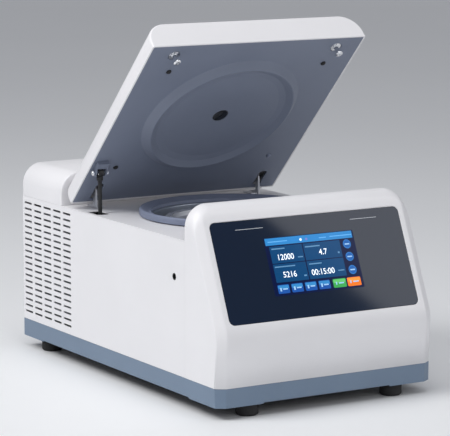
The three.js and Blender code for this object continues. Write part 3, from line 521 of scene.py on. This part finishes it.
def slope_point(distance, shift):
    z = GLASS_FOOT_Z + distance * math.cos(CONSOLE_LEAN)
    return Vector((console_y(z) + shift, z))


def cover_section(x):
    """Side section [y, z] at x, from the front foot over the top to the rear wall's foot."""
    shift = shift_at(x)
    top = cover_top(x)
    fold = [fold_point(-LOWER_LEAN + (CONSOLE_LEAN + LOWER_LEAN) * k / 12) for k in range(13)]
    fold = [Vector((p.x + shift, p.y)) for p in fold]
    corner = Vector((console_y(top) + shift, top))
    reach = BROW_RADIUS * math.tan((HALF_PI - CONSOLE_LEAN) / 2)
    brow_start = (top - reach * math.cos(CONSOLE_LEAN) - GLASS_FOOT_Z) / math.cos(CONSOLE_LEAN)
    high = min(POCKET_HIGH, brow_start - 0.5)
    over = outline(
        [
            slope_point(high, shift),
            (corner.x, corner.y, BROW_RADIUS),
            (COVER_BACK, top, 1.2),
            (COVER_BACK, BACK_FOOT),
        ],
        10,
        closed=False,
    )
    foot = Vector((lower_y(COVER_BOTTOM) + shift, COVER_BOTTOM))
    return [foot, *fold, slope_point(POCKET_LOW, shift), *over]


LOW_INDEX = 1 + 13  # the section's point at the pocket's lower edge; the next one is at its upper edge
COVER_WALL = 1.6


def front_cover():
    shape = Shape()
    bend = [HALF_WIDTH - ARCH_RADIUS * (1 - math.sin(HALF_PI * k / 26)) for k in range(27)]
    half = sorted({0.0, POCKET_X, *bend})
    stations = [-x for x in reversed(half[1:])] + half
    loops = [shape.loop([(x, p.x, p.y) for p in cover_section(x)]) for x in stations]
    pocket = {"low": [], "high": []}
    for x, loop in zip(stations, loops):
        if abs(x) <= POCKET_X:
            pocket["low"].append(loop[LOW_INDEX])
            pocket["high"].append(loop[LOW_INDEX + 1])
    sections = list(zip(stations, loops))
    for (x, one), (other_x, other) in zip(sections, sections[1:]):
        inside = abs(x) <= POCKET_X and abs(other_x) <= POCKET_X
        for i in range(len(one) - 1):
            if inside and i == LOW_INDEX:
                continue
            shape.bm.faces.new((one[i], one[i + 1], other[i + 1], other[i])).smooth = True
    for loop, x in ((loops[0], stations[0]), (loops[-1], stations[-1])):
        foot = shape.loop([(x, COVER_BACK, COVER_BOTTOM)])
        shape.fill(loop + foot)

    # The glass's recess, with a softened lip and a ledge under the glass
    lip = 1.3
    depth = GLASS_RECESS + GLASS_THICKNESS + GAP
    turns = [HALF_PI * k / 5 for k in range(6)]
    steps = [(-GAP - lip * (1 - math.sin(t)), -lip * (1 - math.cos(t))) for t in turns]
    steps += [(-GAP, -depth), (10, -depth), (10, -depth - 2)]
    glass = rectangle(-GLASS_HALF_WIDTH, GLASS_HALF_WIDTH, 0, GLASS_LENGTH, GLASS_RADIUS, 10)
    rings = []
    for distance, z in steps:
        points = [ON_CONSOLE @ Vector((p.x, p.y, z)) for p in inset(glass, min(distance, GLASS_RADIUS - 1))]
        rings.append(shape.loop(points))
    shape.skin(rings)
    shape.fill(pocket["low"] + pocket["high"][::-1], rings[0])
    return shape


cover = piece("front_cover_shell", front_cover(), "chassis", WHITE, replaces=["front_cover"])
wall = cover.modifiers.new("wall", "SOLIDIFY")
wall.thickness = COVER_WALL * MM
wall.offset = -1

glass_rim = rectangle(-GLASS_HALF_WIDTH, GLASS_HALF_WIDTH, 0, GLASS_LENGTH, GLASS_RADIUS, 10)
piece(
    "console_panel_glass",
    slab(glass_rim, -GLASS_RECESS - GLASS_THICKNESS, -GLASS_RECESS, 0.4),
    "chassis",
    CONSOLE,
    ON_CONSOLE,
    replaces=["console_glass"],
)

# ---------- Screen ----------
SCREEN_X = (-81, 77)
SCREEN_Y = (36, 125)
SCREEN_SIZE = (SCREEN_X[1] - SCREEN_X[0], SCREEN_Y[1] - SCREEN_Y[0])
LAYER = 0.05


def on_screen(across, down):
    """A place on the screen as shares of its width from the left and of its height from the top."""
    return SCREEN_X[0] + across * SCREEN_SIZE[0], SCREEN_Y[1] - down * SCREEN_SIZE[1]


def layer_slab(rim, layer):
    """A thin plate in one of the layers that are counted from the glass up."""
    low = -GLASS_RECESS + (layer - 1) * LAYER + 0.005
    return slab(rim, low, low + LAYER, 0.015)


def tile(across, down, radius, layer):
    """A thin rounded plate between two shares across and two down."""
    x0, y1 = on_screen(across[0], down[0])
    x1, y0 = on_screen(across[1], down[1])
    return layer_slab(rectangle(x0, x1, y0, y1, radius, 4), layer)


def tiles(places, radius, layer):
    whole = Shape()
    for across, down in places:
        whole.add(tile(across, down, radius, layer))
    return whole


def screen_piece(name, shape, colour, glow=0.55):
    return piece(name, shape, "chassis", light_up(name, colour, glow), ON_CONSOLE)


BUTTON_ROW = (0.815, 0.965)
BUTTON_FACE = (0.825, 0.885)
ROUND_BUTTONS = [0.235, 0.455, 0.685]
ROUND_ACROSS = 0.907
SMALL_BUTTONS = [(0.043 + 0.1515 * k, 0.171 + 0.1515 * k) for k in range(4)]
START = (0.658, 0.804)
STOP = (0.82, 0.971)
COLUMNS = [(0.045, 0.405), (0.417, 0.83)]
ROWS = [(0.155, 0.448), (0.462, 0.775)]


def upper(across):
    """The lighter upper part of a button."""
    return (across[0] + 0.006, across[1] - 0.006), BUTTON_FACE


screen_piece("screen_ground", tile((0, 1), (0, 1), 1.2, 1), (5, 20, 62), 0.3)
screen_piece("screen_header", tile((0.012, 0.985), (0.012, 0.135), 0.8, 2), (44, 126, 190), 0.5)
screen_piece("screen_tiles", tiles([(c, r) for c in COLUMNS for r in ROWS], 0.8, 2), (8, 64, 108), 0.5)
screen_piece("screen_buttons", tiles([(c, BUTTON_ROW) for c in SMALL_BUTTONS], 1.6, 2), (28, 80, 158), 0.45)
screen_piece("screen_button_faces", tiles([upper(c) for c in SMALL_BUTTONS], 1.4, 3), (52, 130, 190), 0.45)
screen_piece("screen_start_button", tile(START, BUTTON_ROW, 1.6, 2), (58, 156, 78), 0.5)
screen_piece("screen_start_face", tile(*upper(START), 1.4, 3), (96, 186, 104), 0.5)
screen_piece("screen_stop_button", tile(STOP, BUTTON_ROW, 1.6, 2), (228, 112, 34), 0.55)
screen_piece("screen_stop_face", tile(*upper(STOP), 1.4, 3), (240, 142, 56), 0.55)


def discs(places, radius, layer):
    whole = Shape()
    for across, down in places:
        whole.add(layer_slab(circle(on_screen(across, down), radius, 36), layer))
    return whole


ROUND_PLACES = [(ROUND_ACROSS, down) for down in ROUND_BUTTONS]
screen_piece("screen_round_buttons", discs(ROUND_PLACES, 7, 2), (40, 112, 184), 0.45)
screen_piece("screen_round_faces", discs(ROUND_PLACES, 5.6, 3), (26, 90, 164), 0.45)


def label_bars():
    """Plain pale bars where a caption or a unit would be."""
    bars = [((0.065, 0.21), (0.19, 0.21)), ((0.435, 0.60), (0.205, 0.225))]
    bars += [((0.06, 0.285), (0.50, 0.52)), ((0.44, 0.58), (0.505, 0.525))]
    bars += [((0.335, 0.39), (0.365, 0.382)), ((0.785, 0.805), (0.35, 0.38))]
    bars += [((0.36, 0.39), (0.685, 0.71)), ((0.745, 0.815), (0.665, 0.682))]
    return tiles(bars, 0.3, 3)


def icons():
    marks = []
    for left, right in SMALL_BUTTONS:
        marks.append(((left + 0.024, left + 0.042), (0.865, 0.925)))
        marks.append(((left + 0.056, right - 0.02), (0.88, 0.902)))
    for left, right in (START, STOP):
        marks.append(((left + 0.03, left + 0.044), (0.865, 0.915)))
        marks.append(((left + 0.065, right - 0.025), (0.88, 0.902)))
    marks += [((ROUND_ACROSS - 0.026, ROUND_ACROSS + 0.026), (d - 0.01, d + 0.012)) for d in ROUND_BUTTONS]
    return tiles(marks, 0.3, 4)


def header_marks():
    marks = [((0.04, 0.255), (0.068, 0.084)), ((0.61, 0.69), (0.075, 0.09)), ((0.73, 0.98), (0.07, 0.085))]
    return tiles(marks, 0.3, 3)


screen_piece("screen_captions", label_bars(), (96, 144, 182), 0.4)
screen_piece("screen_icons", icons(), (150, 190, 222), 0.5)
screen_piece("screen_header_marks", header_marks(), (98, 170, 216), 0.5)
screen_piece("screen_header_light", discs([(0.405, 0.08)], 2.0, 3), (226, 240, 250), 0.7)
screen_piece("screen_header_alert", discs([(0.47, 0.08)], 1.9, 3), (120, 120, 190), 0.5)


DIGIT_HEIGHT = 9.1


def numbers(text, across, down):
    """Digits as a flat mesh, centred on a place of the screen."""
    curve = bpy.data.curves.new("digits", "FONT")
    curve.body = text
    curve.size = DIGIT_HEIGHT * 1.38  # a digit is 0.725 of the font's size
    curve.align_x = "CENTER"
    curve.align_y = "CENTER"
    curve.extrude = LAYER / 2
    curve.offset = 0.05
    curve.resolution_u = 6
    holder = bpy.data.objects.new("digits", curve)
    bpy.context.scene.collection.objects.link(holder)
    graph = bpy.context.evaluated_depsgraph_get()
    mesh = bpy.data.meshes.new_from_object(holder.evaluated_get(graph))
    bpy.data.objects.remove(holder)
    shape = Shape()
    shape.bm.from_mesh(mesh)
    x, y = on_screen(across, down)
    squeeze = Matrix.Diagonal((0.95, 1, 1, 1))
    shape.place(Matrix.Translation((x, y, -GLASS_RECESS + 2.5 * LAYER + 0.01)) @ squeeze)
    return shape


digits = Shape()
for text, across, down in (
    ("12000", 0.20, 0.353),
    ("4.7", 0.622, 0.33),
    ("5216", 0.208, 0.655),
    ("00:15:00", 0.577, 0.667),
):
    digits.add(numbers(text, across, down))
screen_piece("screen_numbers", digits, (236, 244, 250), 0.8)

LINE_X = (77, 125)
LINE_Y = (141, 141.7)
printed_lines = Shape()
for side in (-1, 1):
    bar = rectangle(*sorted(side * x for x in LINE_X), *LINE_Y, 0.3, 3)
    printed_lines.add(slab(bar, -GLASS_RECESS + 0.005, -GLASS_RECESS + LAYER, 0.015))
LINE_INK = material("line_ink", srgb(214, 218, 226), roughness=0.3, patch=30)
piece("console_lines", printed_lines, "chassis", LINE_INK, ON_CONSOLE)

# ---------- Side panels ----------
# A side plate is drawn as [y, z] and stands on its edge: local x is y, local y is z, local z is x.
SIDEWAYS = Matrix(((0, 0, 1, 0), (1, 0, 0, 0), (0, 1, 0, 0), (0, 0, 0, 1)))
VENT_ROWS = 19
VENT_PITCH = (34.6, 10.1)
VENT_SIZE = (27, 3.4)
VENT_FIRST = (161.5, 60.5)
RELEASE = Vector(joint("latch_turn")["pos_m"]).yz / MM
RELEASE_RADIUS = 5.6


def side_panel(side, columns, release):
    rim = outline(
        [
            (panel_low.y, panel_low.z),
            (BACK, panel_low.z, 1.5),
            (BACK, DECK_TOP, 1.5),
            (REAR_FRONT, DECK_TOP),
            (REAR_FRONT, DECK_TOP - SHEET - 0.05),
            (panel_low.y, DECK_TOP - SHEET - 0.05),
        ],
        4,
    )
    holes = []
    for column in range(columns):
        for row in range(VENT_ROWS):
            y = VENT_FIRST[0] + column * VENT_PITCH[0]
            z = VENT_FIRST[1] + row * VENT_PITCH[1]
            half = VENT_SIZE[0] / 2, VENT_SIZE[1] / 2
            holes.append(rectangle(y - half[0], y + half[0], z - half[1], z + half[1], 0.8, 3))
    if release:
        holes.append(circle(RELEASE, RELEASE_RADIUS, 40))
    span_x = (-HALF_WIDTH, -HALF_WIDTH + SHEET) if side < 0 else (HALF_WIDTH - SHEET, HALF_WIDTH)
    return slab(rim, *span_x, 0.35, holes)


piece("left_panel", side_panel(-1, 5, True), "chassis", WHITE, SIDEWAYS,
      replaces=["left_side_panel"])
piece("right_panel", side_panel(1, 3, False), "chassis", WHITE, SIDEWAYS,
      replaces=["right_side_panel"])

# ---------- Deck and rear cover ----------
STRUT_HOLE = (-183, -161, 64, 104)
HOOK_SLOT_HALF = 4.5
HOOK_HOLE_RADIUS = 8
HOOK_SLOT_REACH = 24


def key_hole(x):
    """The latch opening: a round hole with a slot running forward from it."""
    reach = math.sqrt(HOOK_HOLE_RADIUS**2 - HOOK_SLOT_HALF**2)
    start = math.atan2(-reach, HOOK_SLOT_HALF)
    sweep = math.pi - 2 * start
    turns = [start + sweep * k / 24 for k in range(25)]
    points = [
        Vector((x + HOOK_HOLE_RADIUS * math.cos(t), LATCH_Y + HOOK_HOLE_RADIUS * math.sin(t)))
        for t in turns
    ]
    front = LATCH_Y - HOOK_SLOT_REACH
    return points + [Vector((x - HOOK_SLOT_HALF, front)), Vector((x + HOOK_SLOT_HALF, front))]


def deck():
    inner = HALF_WIDTH - SHEET - GAP
    tongue = deck_high.y
    rim = outline(
        [
            (-HALF_WIDTH, deck_low.y),
            (HALF_WIDTH, deck_low.y),
            (HALF_WIDTH, REAR_FRONT - GAP),
            (inner, REAR_FRONT - GAP),
            (inner, tongue),
            (-inner, tongue),
            (-inner, REAR_FRONT - GAP),
            (-HALF_WIDTH, REAR_FRONT - GAP),
        ]
    )
    holes = [
        circle((0, CHAMBER.y), RING_INNER + 2, 96),
        rectangle(*STRUT_HOLE, 4, 6),
        key_hole(-LATCH_X),
        key_hole(LATCH_X),
    ]
    return slab(rim, DECK_TOP - SHEET, DECK_TOP, 0.6, holes)


piece("deck", deck(), "chassis", WHITE, replaces=["top_deck"])
rear = arch_shell(HALF_WIDTH, rear_low.z, HOUSING_TOP, REAR_FRONT, BACK, 2.2, WALL)
piece("rear_housing", rear, "chassis", WHITE, replaces=["rear_cover"])

# ---------- Seal ring and chamber ----------
ring_top = ring_high.z
seal = turned(
    [
        (RING_INNER, ring_low.z),
        (ring_high.x, ring_low.z, 0.8),
        (ring_high.x, ring_top, 3.2),
        (141.5, ring_top, 1.2),
        (129.5, ring_top - 6.2, 2.5),
        (127.6, ring_top - 5.4, 0.7),
        (RING_INNER, ring_top - 5.4, 0.7),
    ],
    128,
    6,
    (0, CHAMBER.y),
    closed=True,
)
piece("lid_seal", seal, "chassis", GASKET, replaces=["seal_ring"])

bowl_radius = 121.5
flange_radius = 136
bowl_wall = 1.3
bowl_floor = bowl_low.z + bowl_wall
bowl_outer = outline(
    [
        (16, bowl_floor),
        (bowl_radius, bowl_floor, 14),
        (bowl_radius, bowl_high.z, 2),
        (flange_radius, bowl_high.z),
    ],
    8,
    closed=False,
)
bowl_under = outline(
    [
        (flange_radius, bowl_high.z - 1),
        (bowl_radius + bowl_wall, bowl_high.z - 1, 1),
        (bowl_radius + bowl_wall, bowl_low.z, 15),
        (16, bowl_low.z),
    ],
    8,
    closed=False,
)
bowl = lathe([(p.x, p.y) for p in bowl_outer + bowl_under], 128, (0, CHAMBER.y), closed=True)
piece("chamber_liner", bowl, "chassis", BOWL_STEEL, replaces=["chamber_bowl"])

# ---------- Rotor ----------
TUBE_COUNT = 6
TUBE_RADIUS = 14.75
TUBE_LEAN = math.radians(25)
TUBE_MOUTH = (58, 231.5)


def rotor_body():
    body = turned(
        [
            (10.6, 160, 0.5),
            (60, 160, 6),
            (96, 163, 10),
            (108, 172, 3),
            (108, 245, 3),
            (104, 250, 2),
            (95, 250, 2),
            (91, 242, 2),
            (76, 240, 2),
            (40, 223, 4),
            (35, 222, 1.5),
            (33, 212, 1),
            (10.6, 212, 0.5),
        ],
        120,
        centre=(0, CHAMBER.y),
        closed=True,
    )
    tools = []
    for k in range(TUBE_COUNT):
        bore = lathe([(0, -60), (6, -58.5), (11, -55), (TUBE_RADIUS, -47), (TUBE_RADIUS, 22), (0, 22)], 48)
        turn = Matrix.Translation((0, CHAMBER.y, 0)) @ Matrix.Rotation(k * 2 * math.pi / TUBE_COUNT, 4, "Z")
        lean = Matrix.Translation((TUBE_MOUTH[0], 0, TUBE_MOUTH[1])) @ Matrix.Rotation(-TUBE_LEAN, 4, "Y")
        tools.append(bore.place(turn @ lean))
    return carved(body, *tools)


rotor = piece("rotor_body", rotor_body(), "rotor", ALUMINIUM, replaces=["rotor"],
              sharp=30)
bevelled(rotor, 0.6, 2, 35)


NUT_BORE_TOP = 229
NUT_BORE_RADIUS = 4.4


def nut_body():
    """A grip with nine shallow lobes and a domed cap on a short neck, bored for the spindle's end."""
    shape = Shape()
    lobes = 9
    segments = lobes * 12
    low, high = nut_low.z, nut_high.z
    profile = outline(
        [
            (0, NUT_BORE_TOP),
            (NUT_BORE_RADIUS, NUT_BORE_TOP),
            (NUT_BORE_RADIUS, low, 0.3),
            (16, low, 0.6),
            (16, 218, 0.5),
            (21, 218, 1.2),
            (21, 231, 2.5),
            (14, high, 2),
            (0, high),
        ],
        4,
        closed=False,
    )
    loops = []
    for p in profile:
        if p.x < 1e-6:
            loops.append(shape.loop([(0, CHAMBER.y, p.y)]))
            continue
        wave = max(0.0, (p.x - 17) / 4)
        points = []
        for k in range(segments):
            angle = 2 * math.pi * k / segments
            radius = p.x + wave * math.cos(angle * lobes)
            points.append((radius * math.cos(angle), CHAMBER.y + radius * math.sin(angle), p.y))
        loops.append(shape.loop(points))
    shape.skin(loops)
    return shape


piece("rotor_lid_nut", nut_body(), "rotor_nut", BLACK, replaces=["rotor_nut"])

# ---------- Lid ----------
lid_body = arch_shell(HALF_WIDTH, LID_FACE, LID_TOP, LID_FRONT, LID_BACK, 2.5, LID_WALL)
hole_radius = PORT_RADIUS + GAP
port_hole = lathe(
    [(0, LID_TOP - 8), (hole_radius, LID_TOP - 8), (hole_radius, LID_TOP + 4), (0, LID_TOP + 4)],
    64,
    (0, LID_CHAMBER_Y),
)
lid_shell = piece("lid_housing", carved(lid_body, port_hole), "lid", WHITE, LID,
                  replaces=["lid_shell"])
bevelled(lid_shell, 0.5)

BUTTONS = {
    "lid_button_front_left": (-139, LID_BACK - 323),
    "lid_button_front_right": (139, LID_BACK - 323),
    "lid_button_rear_left": (-142, LID_BACK - 89),
    "lid_button_rear_right": (142, LID_BACK - 89),
}
SLOT_Y = (-26.5, 10.8)
SLOT_HALF = 7
STRIKER_CUP_RADIUS = 9.5
BUTTON_CUP_RADIUS = 4.3
LINER_THICKNESS = 3
BOSS_CREST = 120.5
BOSS_RADIUS = 132.5


def liner():
    """The plate with its openings, and the ring that presses on the seal, sweeping out of it."""
    edge = LID_WALL + GAP
    low, high = LID_FACE, LID_FACE + LINER_THICKNESS
    shape = Shape()
    rounding = soften(0.6)
    down = [(d, low + e) for d, e in reversed(rounding)]
    up = [(d, high - e) for d, e in rounding]

    rim = rectangle(-HALF_WIDTH + edge, HALF_WIDTH - edge, LID_FRONT + edge, LID_BACK - edge, 1.5, 3)
    outer = shape.wall(rim, down + up, 1)
    through = []
    cups = []
    for side in (-1, 1):
        x = side * HINGE_X
        slot = rectangle(x - SLOT_HALF, x + SLOT_HALF, *SLOT_Y, 5, 6)
        through.append(shape.wall(slot, down + up, -1))
    for side in (-1, 1):
        cup = circle((side * LATCH_X, STRIKER_Y), STRIKER_CUP_RADIUS, 40)
        cups.append(shape.wall(cup, down + [(0, low + 2)], -1))
    for place in BUTTONS.values():
        cups.append(shape.wall(circle(place, BUTTON_CUP_RADIUS, 24), down + [(0, low + 1.5)], -1))
    boss = outline(
        [
            (PORT_RADIUS + GAP, -24),
            (PORT_RADIUS + GAP, -30.6, 0.8),
            (99, LID_FACE - 2.4, 12),
            (110, LID_FACE - 4.4, 6),
            (BOSS_CREST, LID_FACE - 11.2, 2.2),
            (BOSS_RADIUS, LID_FACE, 3),
            (BOSS_RADIUS + 8, LID_FACE),
        ],
        7,
        closed=False,
    )
    boss_loops = [
        shape.loop([(p.x, p.y, z) for p in circle((0, LID_CHAMBER_Y), radius, 128)]) for radius, z in boss
    ]
    shape.skin(boss_loops)
    back = shape.loop([(p.x, p.y, high) for p in circle((0, LID_CHAMBER_Y), PORT_RADIUS + GAP, 128)])
    shape.bridge(boss_loops[0], back)
    shape.fill(outer[0], boss_loops[-1], *[h[0] for h in through], *[c[0] for c in cups])
    shape.fill(outer[-1], back, *[h[-1] for h in through])
    for cup in cups:
        shape.fill(cup[-1])
    return shape


piece("lid_lining", liner(), "lid", SLATE, LID, replaces=["lid_liner"])

plug = turned(
    [
        (0, LID_FACE - 1),
        (PORT_RADIUS, LID_FACE - 1, 1.2),
        (PORT_RADIUS, LID_TOP - 0.5, 0.8),
        (0, LID_TOP - 0.5),
    ],
    64,
    centre=(0, LID_CHAMBER_Y),
)
piece("sight_window", plug, "lid", PORT, LID, replaces=["sight_plug"])

for name, place in BUTTONS.items():
    bumper = turned(
        [
            (0, LID_FACE + 1.2),
            (4, LID_FACE + 1.2, 0.3),
            (4, LID_FACE - 1.2, 1.0),
            (2.4, LID_FACE - 2.1, 0.9),
            (0, LID_FACE - 2.1),
        ],
        32,
        centre=place,
    )
    finish = GASKET if name == "lid_button_rear_right" else RUBBER
    piece(name + "_bumper", bumper, "lid", finish, LID, replaces=[name])

STRIKER_END = LID_FACE - 15.5
for side, name in ((-1, "left"), (1, "right")):
    pin = turned(
        [
            (0, LID_FACE + 1.7),
            (8.6, LID_FACE + 1.7, 0.3),
            (8.6, LID_FACE + 0.4, 0.3),
            (3.5, LID_FACE - 0.4, 1.2),
            (3.5, STRIKER_END + 4.4, 0.5),
            (6, STRIKER_END + 3.6, 0.8),
            (6, STRIKER_END + 1.4, 1.0),
            (3.6, STRIKER_END, 1.0),
            (1.6, STRIKER_END, 0.3),
            (1.4, STRIKER_END + 1.6, 0.2),
            (0, STRIKER_END + 1.8),
        ],
        48,
        centre=(side * LATCH_X, STRIKER_Y),
    )
    piece(name + "_striker_pin", pin, "lid", POLISHED, LID, replaces=[name + "_striker"])

# ---------- Hinge arms ----------
def hinge_arm(side):
    base = DECK_TOP + GAP
    plate = outline(
        [
            (129.2, base),
            (159, base),
            (159, 255.5),
            (138.5, 259.5, 2),
            (138.5, 270, 8),
            (HINGE.y + 3, HINGE.z - 8, 8),
            (HINGE.y + 8, HINGE.z, 6),
            (HINGE.y + 2, HINGE.z + 8, 6),
            (HINGE.y - 10, HINGE.z + 4, 6),
            (129.2, 283, 12),
        ],
        6,
    )
    x = side * HINGE_X
    pin = circle((HINGE.y, HINGE.z), 3.1, 32)
    arm = slab(plate, x - 1.5, x + 1.5, 0.4, [pin]).place(SIDEWAYS)
    ends = (x + 1.2, x + 14) if side < 0 else (x - 14, x - 1.2)
    foot = slab(rectangle(*ends, 131, 157, 1.5, 4), base, DECK_TOP + 2.3, 0.4)
    return arm.add(foot)


for side, name in ((-1, "left"), (1, "right")):
    piece(name + "_arm", hinge_arm(side), "chassis", ZINC, replaces=[name + "_hinge_arm"])

# ---------- Gas strut ----------
strut_top = Vector(joint("strut_swivel")["pos_m"]) / MM
STRUT_X = strut_top.x
strut_axis = Vector(joint("strut_slide")["axis"])
strut_lean = Vector((0, 0, 1)).rotation_difference(strut_axis)
STRUT = Matrix.Translation(strut_top) @ strut_lean.to_matrix().to_4x4()
tube_high = span("strut_tube")[1]


ALONG_X = Matrix.Rotation(HALF_PI, 4, "Y")


def sleeve(inner, outer, half):
    """The outside and the ends of a short tube, lying along x; its bore has no wall."""
    corners = [(inner, -half, 0.4), (outer, -half, 0.8), (outer, half, 0.8), (inner, half, 0.4)]
    return lathe([(p.x, p.y) for p in outline(corners, 4)], 40).place(ALONG_X)


def rod_end():
    """The cup over the ball, and the neck that the rod is screwed into."""
    neck = turned([(0, -5.2), (4.4, -5.2, 0.5), (5.2, -7, 0.6), (5.2, -12, 0.6), (3.6, -12.6), (0, -12.6)])
    return sleeve(4.9, 6.2, 4.6).add(neck)


rod = turned([(0, -12.9), (3.1, -12.9), (3.3, -13.4, 0.3), (3.3, -112, 0.6), (0, -112)])
piece("strut_piston_rod", rod, "strut_rod", BLACK, STRUT, replaces=["strut_rod"])
piece("strut_rod_end", rod_end(), "strut_rod", BLACK, STRUT)

STRUT_FOOT = Vector((STRUT_X, 80, 95))
STRUT_LENGTH = (strut_top - STRUT_FOOT).length
TUBE_TOP = tube_high.z - strut_top.z


def strut_tube():
    barrel = turned(
        [
            (0, -STRUT_LENGTH + 10),
            (9, -STRUT_LENGTH + 10, 1.5),
            (9, TUBE_TOP, 2.2),
            (4.4, TUBE_TOP, 0.5),
            (3.7, TUBE_TOP - 1.5),
            (3.7, -STRUT_LENGTH + 30),
            (0, -STRUT_LENGTH + 30),
        ],
        48,
    )
    eye = sleeve(5.5, 9, 5).place(Matrix.Translation((0, 0, -STRUT_LENGTH)))
    neck = slab(rectangle(-5, 5, -4, 4, 1, 3), -STRUT_LENGTH + 6, -STRUT_LENGTH + 12, 0.3)
    return barrel.add(eye).add(neck)


piece("strut_cylinder", strut_tube(), "strut_tube", ENAMEL, STRUT, replaces=["strut_tube"])


def ball_stud():
    """A stud through both cheeks of the lid's bracket, a ball in its middle and a nut outside each cheek."""
    start = math.radians(32)
    angles = [start + (math.pi - 2 * start) * k / 16 for k in range(17)]
    ball = [(4.5 * math.sin(t), -4.5 * math.cos(t)) for t in angles]
    stem = [(0, -13.7), (2, -13.7), (2.4, -13.3), (2.4, ball[0][1])]
    stud = lathe(stem + ball + [(radius, -z) for radius, z in reversed(stem)], 32)
    for low in (10.3, -13.2):
        stud.add(slab(circle((0, 0), 4.6, 6), low, low + 2.9, 0.4))
    return stud.place(ALONG_X)


BALL_IN_LID = (STRUT_X, -67.8, -35.5)
BALL = LID @ Matrix.Translation(BALL_IN_LID)
piece("strut_ball", ball_stud(), "lid", POLISHED, BALL, replaces=["strut_ball_stud"])

# ---------- Feet ----------
def rubber_foot(low, high):
    """A round foot, hollowed under its middle, filling the space from low to high."""
    radius = (high.x - low.x) / 2
    middle = (low + high) / 2
    return turned(
        [
            (0, 0.6),
            (7, 0.6, 0.5),
            (8, 0, 0.3),
            (radius - 2.5, 0, 1.2),
            (radius, 2.5, 1.2),
            (radius, high.z, 0.8),
            (0, high.z),
        ],
        56,
        centre=(middle.x, middle.y),
    )


for place in ("front_left", "front_right", "rear_left", "rear_right"):
    piece("rubber_foot_" + place, rubber_foot(*span("foot_" + place)), "chassis", RUBBER,
          replaces=["foot_" + place])

# ---------- CAD nodes that stay, each with its own finish ----------
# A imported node's triangles aren't joined to each other. So the widths given here soften no edge, and all that the
# dissolve does is drop three slivers: two of fan_shroud and one of power_inlet.
KEPT = {
    "skirt": (SKIRT, 0.8),
    "base_pan": (DARK_SHEET, 0.4),
    "display_module": (BLACK, 0.5),
    "control_board": (BOARD, 0.2),
    "release_bush": (BLACK, 0.3),
    "rear_panel": (WHITE, 0.3),
    "power_inlet": (BLACK, 0.3),
    "power_switch": (BLACK, 0.5),
    "chamber_insulation": (FOAM, 0.6),
    "evaporator_coil": (COPPER, 0),
    "motor_mount_1": (RUBBER, 0),
    "motor_mount_2": (RUBBER, 0),
    "motor_mount_3": (RUBBER, 0),
    "motor_plate": (ZINC, 0.5),
    "motor": (ENAMEL, 0.8),
    "drive_spindle": (POLISHED, 0.3),
    "left_latch_guide": (BLACK, 0.5),
    "right_latch_guide": (BLACK, 0.5),
    "latch_shaft": (ZINC, 0.2),
    "latch_motor": (BLACK, 0.8),
    "left_hinge_bracket": (ZINC, 0.3),
    "right_hinge_bracket": (ZINC, 0.3),
    "left_hinge_pin": (POLISHED, 0.3),
    "right_hinge_pin": (POLISHED, 0.3),
    "lid_insulation": (FOAM, 0.8),
    "strut_bracket": (SLATE, 0.4),
    "strut_mount": (ZINC, 0.3),
    "compressor": (ENAMEL, 1.0),
    "condenser": (ALUMINIUM, 0),
    "fan_shroud": (BLACK, 0.6),
    "condenser_fan": (BLACK, 0.3),
    "motor_drive": (DARK_SHEET, 0.8),
}
for name, (finish, edge) in KEPT.items():
    node = frame["nodes"][name]
    node.data.materials.clear()
    node.data.materials.append(finish)
    merge = node.modifiers.new("flat faces", "DECIMATE")
    merge.decimate_type = "DISSOLVE"
    merge.angle_limit = math.radians(1)
    if edge:
        bevelled(node, edge, 2, 35)

# ---------- Floor, light and camera ----------
def floor():
    mesh = bpy.data.meshes.new("floor")
    reach = 40
    mesh.from_pydata([(-reach, -reach, 0), (reach, -reach, 0), (reach, reach, 0), (-reach, reach, 0)], [],
                     [(0, 1, 2, 3)])
    mesh.materials.append(FLOOR)
    made = bpy.data.objects.new("floor", mesh)
    bpy.context.scene.collection.objects.link(made)


def softbox(name, place, aim, size, power, along=(0, 0, 1), diffuse=True):
    """A rectangular lamp facing a point; its second size runs as nearly as it can along a direction."""
    data = bpy.data.lights.new(name, "AREA")
    data.shape = "RECTANGLE"
    data.size, data.size_y = size
    data.energy = power
    made = bpy.data.objects.new(name, data)
    bpy.context.scene.collection.objects.link(made)
    back = (Vector(place) - Vector(aim)).normalized()
    side = Vector(along).cross(back).normalized()
    turn = Matrix((side, back.cross(side), back)).transposed().to_4x4()
    made.matrix_world = Matrix.Translation(place) @ turn
    made.visible_diffuse = diffuse
    return made


def camera():
    data = bpy.data.cameras.new("camera")
    data.sensor_width = 36
    data.lens = 196
    data.clip_end = 100
    made = bpy.data.objects.new("camera", data)
    bpy.context.scene.collection.objects.link(made)
    yaw, pitch = math.radians(30.8), math.radians(8.9)
    made.location = (-1.957, -3.299, 0.843)
    forward = Vector((math.sin(yaw) * math.cos(pitch), math.cos(yaw) * math.cos(pitch), -math.sin(pitch)))
    made.rotation_euler = forward.to_track_quat("-Z", "Y").to_euler()
    bpy.context.scene.camera = made


def world():
    made = bpy.data.worlds.new("studio")
    made.use_nodes = True
    shade = made.node_tree.nodes["Background"]
    shade.inputs["Color"].default_value = (0.92, 0.94, 1.0, 1)
    shade.inputs["Strength"].default_value = 0.38
    bpy.context.scene.world = made


floor()
camera()
world()
softbox("key", (-2.4, 0.4, 2.8), (0, 0, 0.25), (1.5, 1.5), 57)
softbox("top", (-0.6, -0.7, 3.2), (0, 0, 0.3), (2.0, 2.0), 26)
softbox("fill", (-0.5, -2.6, 1.3), (0, 0, 0.25), (1.2, 1.2), 8)
# This lamp shows only in reflections, and is placed for the bright part of the console's glass
softbox("glass_glow", (1.718, -1.565, 1.643), (0.372, 0.151, 0.422), (1.2, 2.4), 22, (0.596, -0.099, -0.797),
        diffuse=False)
bpy.context.scene.view_settings.view_transform = "Standard"
